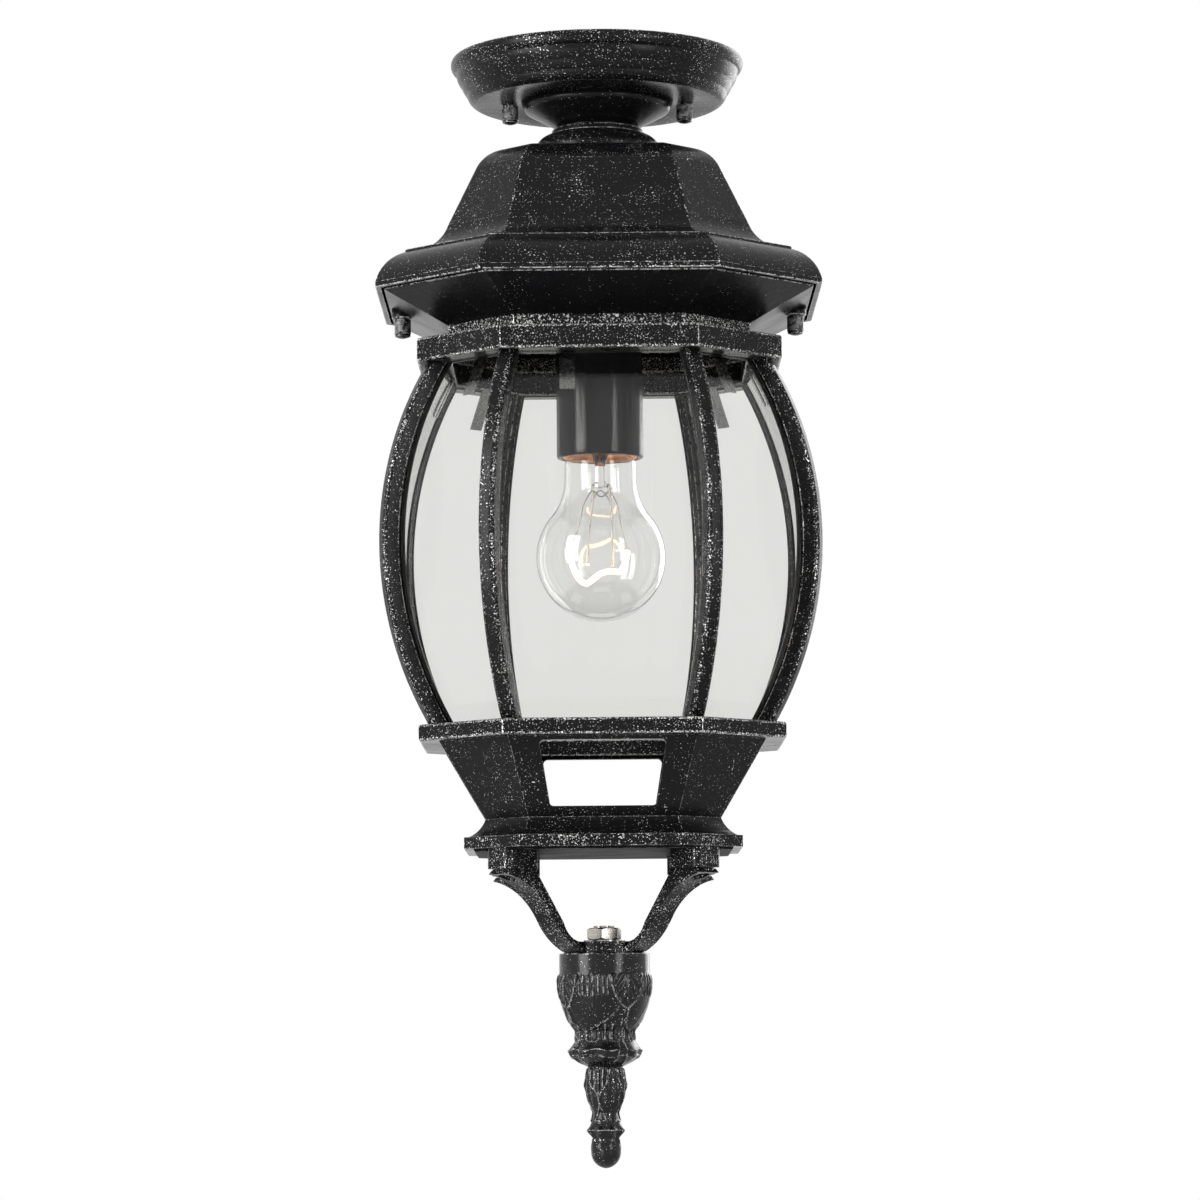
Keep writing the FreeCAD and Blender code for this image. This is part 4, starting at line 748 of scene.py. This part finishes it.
def finial():
    d = drop
    collar, pitch = d["collar"], 2 * math.pi / d["leaves"]
    shown = [(d["bore"], -d["boreDeep"]), (d["bore"], 0.0), (collar, 0.0, 0.6),
             (collar, -d["collarHigh"], 0.8)]
    shown += [(point[0], -point[1], *point[2:]) for point in d["core"]]
    shown.append((0, -d["long"], d["endRound"], -1))
    profile = outline([(point[0], d["top"] + point[1], *point[2:]) for point in shown],
                      grain=d["arcStep"])
    profile = divided(profile, d["longest"])

    def relief(angles, height, radius):
        fall = d["top"] - height
        turn = math.radians(d["turn"])
        # how far round from where leaves meet, and from a big leaf's middle
        meet = (((angles - turn) / pitch + 0.5) % 1 - 0.5) * pitch * radius
        mid = (((angles - turn) / pitch) % 1 - 0.5) * pitch * radius
        outer = (radius > d["bore"] + 0.5) * 1.0

        # short pointed leaves under the collar, over the places where the big ones meet
        down = np.clip((fall - 10) / 15.5, 0, 1)
        short = d["shortHalf"] * (1 - down) ** 0.8 * (1 + 0.9 * down)
        within = ramp(short - np.abs(meet), -0.2, 0.6) * span(fall, *d["short"])
        vein = np.cos((fall * 0.55 - np.abs(meet) * 0.8) * 2) * ramp(np.abs(meet), 0.5, 2.5)
        total = within * (0.45 + 0.14 * vein + 0.2 * wire(meet))
        total += d["rim"] * wire(np.abs(meet) - short) * span(fall, 9.2, 25.6)

        # a big leaf's outline leans as it falls; pleats at its root, a plain face, a thin midrib
        lean = mid + 0.42 * np.clip(fall - 22, 0, 20)
        low = np.clip((fall - 18) / 18.0, 0, 1)
        big = d["bigHalf"] * (1 - low ** 3)
        face = ramp(big - np.abs(lean), -0.2, 0.8) * span(fall, *d["big"]) * (1 - within)
        root = span(fall, *d["roots"], 2.5) * (1 - ramp(np.abs(mid), 6.0, 8.0))
        pleats = np.cos(2 * math.pi * mid / d["pleat"])
        total += face * (0.25 + 0.12 * wire(lean)) + 0.32 * root * (1 - within) * pleats
        total += 0.8 * d["rim"] * wire(np.abs(lean) - big) * span(fall, 21, 36.6) * (1 - within)

        # the double line where two leaves meet runs on over the curled ring
        part = 0.75 + 0.16 * np.clip(fall - 38, 0, 20)
        total += d["rim"] * (wire(meet - part) + wire(meet + part)) * span(fall, *d["seam"], 1.5)
        flutes = np.cos(angles * d["flutes"]) * span(fall, *d["fluted"], 1.2)
        total += 0.34 * flutes * (1 - face) * ramp(np.abs(meet), 1.6, 2.4)
        lobes = np.cos(8 * (angles - turn))
        total += 0.55 * np.cos(8 * (angles - turn) + math.pi) * wire(fall - d["curl"], 3.2)
        total += 0.3 * wire(np.abs(fall - d["curl"] + 0.5 * lobes) - 1.6, 0.5)

        # the bud: fluted tongues, then plain tips, small three-cornered leaves, a lobed flare
        turn = math.radians(d["budTurn"])
        tongue = (((angles - turn) / pitch + 0.5) % 1 - 0.5) * pitch * radius
        down = np.clip((fall - 52) / 13, 0, 1)
        half = d["tongueHalf"] * (1 - down ** 2.4)
        inside = ramp(half - np.abs(tongue), 0.2, 0.9) * span(fall, *d["tongue"])
        total += 0.34 * inside * np.cos(2 * math.pi * tongue / 2.1)
        total += 0.5 * wire(np.abs(tongue) - half, 0.5) * span(fall, 52, 65.5)
        total += 0.16 * np.cos(16 * angles) * (1 - inside) * span(fall, *d["tips"], 3)
        corner = np.clip(fall - 69.2, 0, 7.2) * 0.38
        total += 0.42 * wire(np.abs(tongue) - corner, 0.4) * span(fall, *d["corner"])
        total += 0.42 * wire(fall - 76.4, 0.4) * (np.abs(tongue) < 2.9)
        lobes = np.cos(8 * (angles - turn))
        total += 0.55 * lobes * wire(fall - d["flare"], 2.0)
        total += 0.3 * lobes * wire(fall - d["lowFlare"], 1.0)
        total -= d["sunk"] * span(fall, *d["leafed"], 1.0)
        return outer * d["raised"] * total * ramp(d["long"] - fall, 0.5, 3)

    sheet = turnedSheet(profile, d["columns"], wave=relief)
    makePiece("finial_leafed", [sheet], "coatLeaf", "cage", ["finial"])


finial()
print("finial made")

# Cap nuts: a knurled barrel with a plain domed end

capNut = {
    "radius": 3.9, "high": 9.0, "dome": 1.5, "domeRound": 8.0, "step": 0.3, "bore": 2.15,
    "teeth": 22, "tooth": 0.34, "gap": 0.3,
}


def capNuts():
    n = capNut
    for name, node, body, across, seat in (
            ("nut_canopy_left", "canopy_cap_nut_left", "canopy_nut_left", -40.75, 21.0),
            ("nut_canopy_right", "canopy_cap_nut_right", "canopy_nut_right", 40.75, 21.0),
            ("nut_cage_left", "cage_cap_nut_left", "cage_nut_left", -91.4, 121.6),
            ("nut_cage_right", "cage_cap_nut_right", "cage_nut_right", 91.4, 121.6)):
        top, end = -seat - n["gap"], -seat - n["gap"] - n["high"]
        neck, plain = end + n["dome"], n["radius"] - n["step"]
        profile = outline([
            (0, neck - 0.5), (n["bore"], neck - 0.5), (n["bore"], top), (n["radius"], top, 0.5),
            (n["radius"], neck + 0.7, 0.3), (plain, neck + 0.4, 0.2),
            (plain, neck - 0.5, 1.3), (0, end, n["domeRound"], -1)], support=0.15)

        def knurl(angles, height, radius):
            # slanting teeth both ways on the barrel, fading towards its ends
            body = np.clip((top - 0.5 - height) / 0.4, 0, 1)
            body = body * np.clip((height - neck - 0.9) / 0.4, 0, 1)
            twist = (height - top) / n["radius"]
            one = np.abs(((angles + twist) * n["teeth"] / (2 * math.pi)) % 1 - 0.5)
            two = np.abs(((angles - twist) * n["teeth"] / (2 * math.pi)) % 1 - 0.5)
            return n["tooth"] * 2 * (np.minimum(one, two) - 0.5) * body * (radius > n["bore"] + 0.5)

        sheet = turnedSheet(divided(profile, 0.25), n["teeth"] * 6, middle=(across, 0), wave=knurl)
        makePiece(name, [sheet], "nutBlack", body, [node], merge=0.002)


# The finial's hexagon nut, with chamfered ends
hexNut = {
    "corner": 8.25, "turn": 20, "top": -405.3, "high": 5.6, "bore": 4.85,
    "chamfer": (6.7, 0.75),  # the end face's radius, and how far the chamfer falls
    "below": 0.2,
}


def finialNut():
    n = hexNut
    flat = n["corner"] * math.cos(math.radians(30))
    face, fall = n["chamfer"]
    low = n["top"] - n["high"]
    rows = [(n["bore"], low)]
    rows += [(face + (n["corner"] - face) * share, low + fall * share)
             for share in (0, 0.25, 0.5, 0.75, 1)]
    rows.append((n["corner"], low + fall + n["below"]))
    rows += [(radius, 2 * n["top"] - n["high"] - height) for radius, height in rows[::-1]]

    def sides(angles, height, radius):
        # a flat side's distance from the axis at each angle, where the chamfer's cone is outside it
        turn = (angles - math.radians(n["turn"])) % (math.pi / 3) - math.pi / 6
        return np.minimum(flat / np.cos(turn), radius) - radius

    sheet = turnedSheet(np.array(rows), 108, closed=True, wave=sides)
    makePiece("nut_finial", [sheet], "zinc", "cage", ["finial_nut"])


capNuts()
finialNut()
print("nuts made")

# The lampholder and the clear lamp in it

holder = {
    "radius": 20.1, "top": -128.0, "mouth": -188.0, "bore": 15.0, "boreDeep": 38.0,
    "lip": 17.6, "lipDeep": 5.0, "shell": (13.85, 14.7), "shellHigh": 28.0,
    "cap": (  # radius, height over the top, rounding
        (4.95, 9), (4.95, 5), (6.9, 5), (17.1, 2), (17.1, 0), (19.5, 0, 0.3), (19.5, 3.2, 1.2),
        (7.9, 9, 0.8)),
}
bulb = {
    "end": -264.0, "radius": 29.9, "neck": 16.7, "rise": 36.6, "throat": 12.1, "wall": 0.8,
    "baseLow": -184.6, "fall": 5.2, "stemTop": 8,
    "stem": (  # radius, fall below the stem's top, rounding
        (0, 25.5), (1.8, 25.2, 0.8), (3.1, 24.2, 0.8), (2.6, 22.5, 1.0), (2.3, 15, 1.0),
        (4.6, 7, 2.0), (12.2, 0), (0, 0)),
    "supports": (  # (across, up) points and the wire's radius
        (((-3.4, -200), (-3.6, -208), (-5.4, -222), (-6.4, -238)), 0.55),
        (((3.6, -200), (4.8, -208), (5.2, -222), (5.3, -238)), 0.55),
        (((-1.6, -199), (-7.5, -209), (-10, -219), (-14.2, -231)), 0.32),
        (((1.6, -199), (7.5, -209), (9.4, -219), (12.2, -231)), 0.32),
        (((-4.6, -209), (0, -203), (5.2, -209)), 0.3),
        (((-4.2, -202), (0.4, -206), (5.0, -202)), 0.3)),
    "coil": (
        (-14.6, -229), (-13.6, -236.5), (-10.5, -243.5), (-7, -246), (-4.4, -244.6),
        (0, -241.4), (4.6, -240.4), (8.6, -240.6), (11.2, -236.5), (12.4, -231)),
    "coilRadius": 1.15,
}


def lampholder():
    h = holder
    top, mouth = h["top"], h["mouth"]
    profile = outline([(point[0], top + point[1], *point[2:]) for point in h["cap"]], closed=True)
    sheet = turnedSheet(profile, 96, True)
    makePiece("holder_cap", [sheet], "phenolic", "root", ["socket_cap"])
    profile = outline([
        (0, top), (0, mouth + h["boreDeep"]), (h["bore"], mouth + h["boreDeep"]),
        (h["bore"], mouth + h["lipDeep"], 0.4), (h["lip"], mouth + h["lipDeep"]),
        (h["lip"], mouth, 0.5), (h["radius"], mouth, 1.2), (h["radius"], top, 0.4), (0, top)],
        support=0.4)
    sheet = turnedSheet(profile, 128)
    makePiece("holder_body", [sheet], "phenolic", "root", ["socket_body"])
    low = mouth + h["lipDeep"] / 2
    # the copper shell flares out at its mouth to line the holder's lip
    flared, step = h["lip"] - 0.4, mouth + h["lipDeep"] - 0.5
    profile = outline([(flared - 0.6, mouth + 0.3), (flared, mouth + 0.3, 0.2), (flared, step, 0.4),
                       (h["shell"][1], step, 0.2), (h["shell"][1], low + h["shellHigh"]),
                       (h["shell"][0], low + h["shellHigh"]), (h["shell"][0], step - 0.7, 0.3),
                       (flared - 0.7, step - 0.7, 0.3)], closed=True)
    sheet = turnedSheet(profile, 96, True)
    makePiece("holder_shell", [sheet], "copper", "root", ["socket_screw_shell"])


def lampGlass():
    b = bulb
    ball = b["end"] + b["radius"]
    sweep = (b["rise"] ** 2 + b["neck"] ** 2 - b["radius"] ** 2) / (2 * (b["radius"] - b["neck"]))
    across = (b["neck"] + sweep) / (b["radius"] + sweep)
    above = b["rise"] / (b["radius"] + sweep)
    inner = b["radius"] - b["wall"]
    shoulder = b["baseLow"] - b["fall"]
    throat = b["throat"]
    profile = outline([
        (throat - b["wall"], b["baseLow"] + 5), (throat - b["wall"], b["baseLow"] - 0.4, 2.0),
        (b["neck"] - b["wall"], shoulder, 4.0), (b["neck"] - b["wall"], ball + b["rise"]),
        (inner * across, ball + inner * above, sweep + b["wall"], 1),
        (0, b["end"] + b["wall"], inner, -1)], arcSteps=30, cornerSteps=8)
    shell = outline([
        (0, b["end"]), (b["radius"] * across, ball + b["radius"] * above, b["radius"], 1),
        (b["neck"], ball + b["rise"], sweep, -1), (b["neck"], shoulder, 4.0),
        (throat, b["baseLow"] - 0.4, 2.0), (throat, b["baseLow"] + 5)], arcSteps=30, cornerSteps=8)
    rim = np.array(((throat - b["wall"], b["baseLow"] + 5),))
    sheet = turnedSheet(profile, 128)
    outer = turnedSheet(np.concatenate((shell, rim)), 128)
    makePiece("lamp_glass", [sheet, outer], "lampGlass", "lamp", ["lamp_envelope"])


def lampInside():
    b = bulb
    top = b["baseLow"] + b["stemTop"]
    profile = outline([(point[0], top - point[1], *point[2:]) for point in b["stem"]],
                      cornerSteps=5)
    sheet = turnedSheet(profile, 64)
    makePiece("lamp_stem", [sheet], "lampGlass", "lamp", ["lamp_mount"])
    wires = []
    for path, radius in b["supports"]:
        line = smoothPath([(x, 0, z) for x, z in path], 8)
        wires.append(tubeSheet(line, radius))
    makePiece("lamp_supports", wires, "support", "lamp", ["lamp_wires"])
    line = smoothPath([(x, 0, z) for x, z in b["coil"]], 10)
    coil = tubeSheet(line, b["coilRadius"], 12)
    makePiece("lamp_hot_coil", [coil], "glow", "lamp", ["lamp_filament"])


lampholder()
lampGlass()
lampInside()
print("lampholder and lamp made")

# Finishes on the solids that show as they are

nodeFinishes = {
    "mounting_plate": "zinc", "canopy_studs": "zinc", "cage_studs": "zinc", "stem": "zinc",
    "stem_lock_nut": "zinc", "roof_nut": "zinc", "spider_screws": "zinc", "finial_washer": "zinc",
    "finial_rod": "zinc", "glass_clips": "clipSteel", "ground_screw": "green",
    "socket_contact": "brass", "lead_black": "wireBlack", "lead_white": "wireWhite",
    "lamp_base": "aluminium", "lamp_insulator": "baseGlass", "lamp_tip": "solder",
}
for node, finish in nodeFinishes.items():
    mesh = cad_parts[node].data
    mesh.materials.clear()
    mesh.materials.append(finishes[finish])
print("solids finished:", len(nodeFinishes))

# Camera, lights, floor and background

studio = {
    "lens": 137.02, "eye": (-0.0024, -2.104, -0.4624), "tilt": 95.662, "roll": 0.487,
    "floorDrop": 1.05, "floorRadius": 6.0, "floorColour": (0.86, 0.86, 0.86, 1.0), "ambient": 0.4,
}
lamps = (  # name, place, size, power, aimed at
    ("left_softbox", (-1.75, -1.25, 0.2), (1.0, 1.7), 48, (0, 0, -0.25)),
    ("right_softbox", (1.35, -1.75, 0.1), (0.5, 1.6), 17, (0, 0, -0.25)),
    ("front_low_softbox", (-1.2, -1.9, -1.1), (0.9, 0.5), 12, (0, 0, -0.3)),
    ("back_softbox", (1.2, 1.7, 0.3), (1.2, 1.6), 17, (0, 0, -0.2)),
)


def camera():
    data = bpy.data.cameras.new("camera")
    data.lens = studio["lens"]
    data.sensor_width = 36
    eye = bpy.data.objects.new("camera", data)
    eye.location = studio["eye"]
    eye.rotation_euler = (math.radians(studio["tilt"]), math.radians(studio["roll"]), 0)
    bpy.context.scene.collection.objects.link(eye)
    bpy.context.scene.camera = eye


def lights():
    for name, place, size, power, aim in lamps:
        data = bpy.data.lights.new(name, "AREA")
        data.shape = "RECTANGLE"
        data.size, data.size_y = size
        data.energy = power
        light = bpy.data.objects.new(name, data)
        light.location = place
        light.rotation_euler = (Vector(aim) - Vector(place)).to_track_quat("-Z", "Y").to_euler()
        light.visible_camera = False
        bpy.context.scene.collection.objects.link(light)


def background():
    world = bpy.context.scene.world or bpy.data.worlds.new("world")
    bpy.context.scene.world = world
    world.use_nodes = True
    finish = Finish(world.node_tree)
    paper = (1, 1, 1, 1)
    seen = finish.node("ShaderNodeLightPath", output="Is Camera Ray") \
        + finish.node("ShaderNodeLightPath", output="Is Glossy Ray") \
        + finish.node("ShaderNodeLightPath", output="Is Transmission Ray")
    soft, white = (finish.node("ShaderNodeBackground", None, {"Color": paper, "Strength": strength})
                   for strength in (studio["ambient"], 1.0))
    finish.finishWith(finish.mix(seen, soft, white), "ShaderNodeOutputWorld")


def floor():
    # a pale disc that fades into the white background, and isn't there when seen from below
    material, finish = newFinish("floor_paper")
    far = finish.node("ShaderNodeVectorMath", {"operation": "LENGTH"}, {0: finish.place()}, "Value")
    fade = finish.between(far, 1.1, 2.6)
    paper = finish.principled({
        "Base Color": studio["floorColour"], "Roughness": 0.9, "Specular IOR Level": 0.0})
    white = finish.node("ShaderNodeEmission", None, {"Color": (1, 1, 1, 1), "Strength": 1.0})
    clear = finish.node("ShaderNodeBsdfTransparent")
    under = finish.node("ShaderNodeNewGeometry", output="Backfacing")
    finish.finishWith(finish.mix(under, finish.mix(fade, paper, white), clear))
    radii = np.array((0.0, 0.3, 0.8, 1.6, 3.0, studio["floorRadius"]))
    sides = 64
    angles = np.arange(sides) * 2 * math.pi / sides
    flat = np.stack((radii[:, None] * np.cos(angles), radii[:, None] * np.sin(angles),
                     np.zeros((len(radii), sides))), 2)
    row, column = np.meshgrid(np.arange(len(radii) - 1), np.arange(sides), indexing="ij")
    beside = (column + 1) % sides
    inner, outer = row * sides, (row + 1) * sides
    quads = np.stack((inner + column, outer + column, outer + beside, inner + beside), 2)
    mesh = bpy.data.meshes.new("floor")
    mesh.from_pydata(flat.reshape(-1, 3).tolist(), [], quads.reshape(-1, 4).tolist())
    mesh.materials.append(material)
    sheet = bpy.data.objects.new("floor", mesh)
    sheet.location = (0, 0, -studio["floorDrop"])
    bpy.context.scene.collection.objects.link(sheet)


camera()
lights()
background()
floor()
bpy.context.scene.view_settings.view_transform = "Standard"
print("studio made")

bpy.context.view_layer.update()
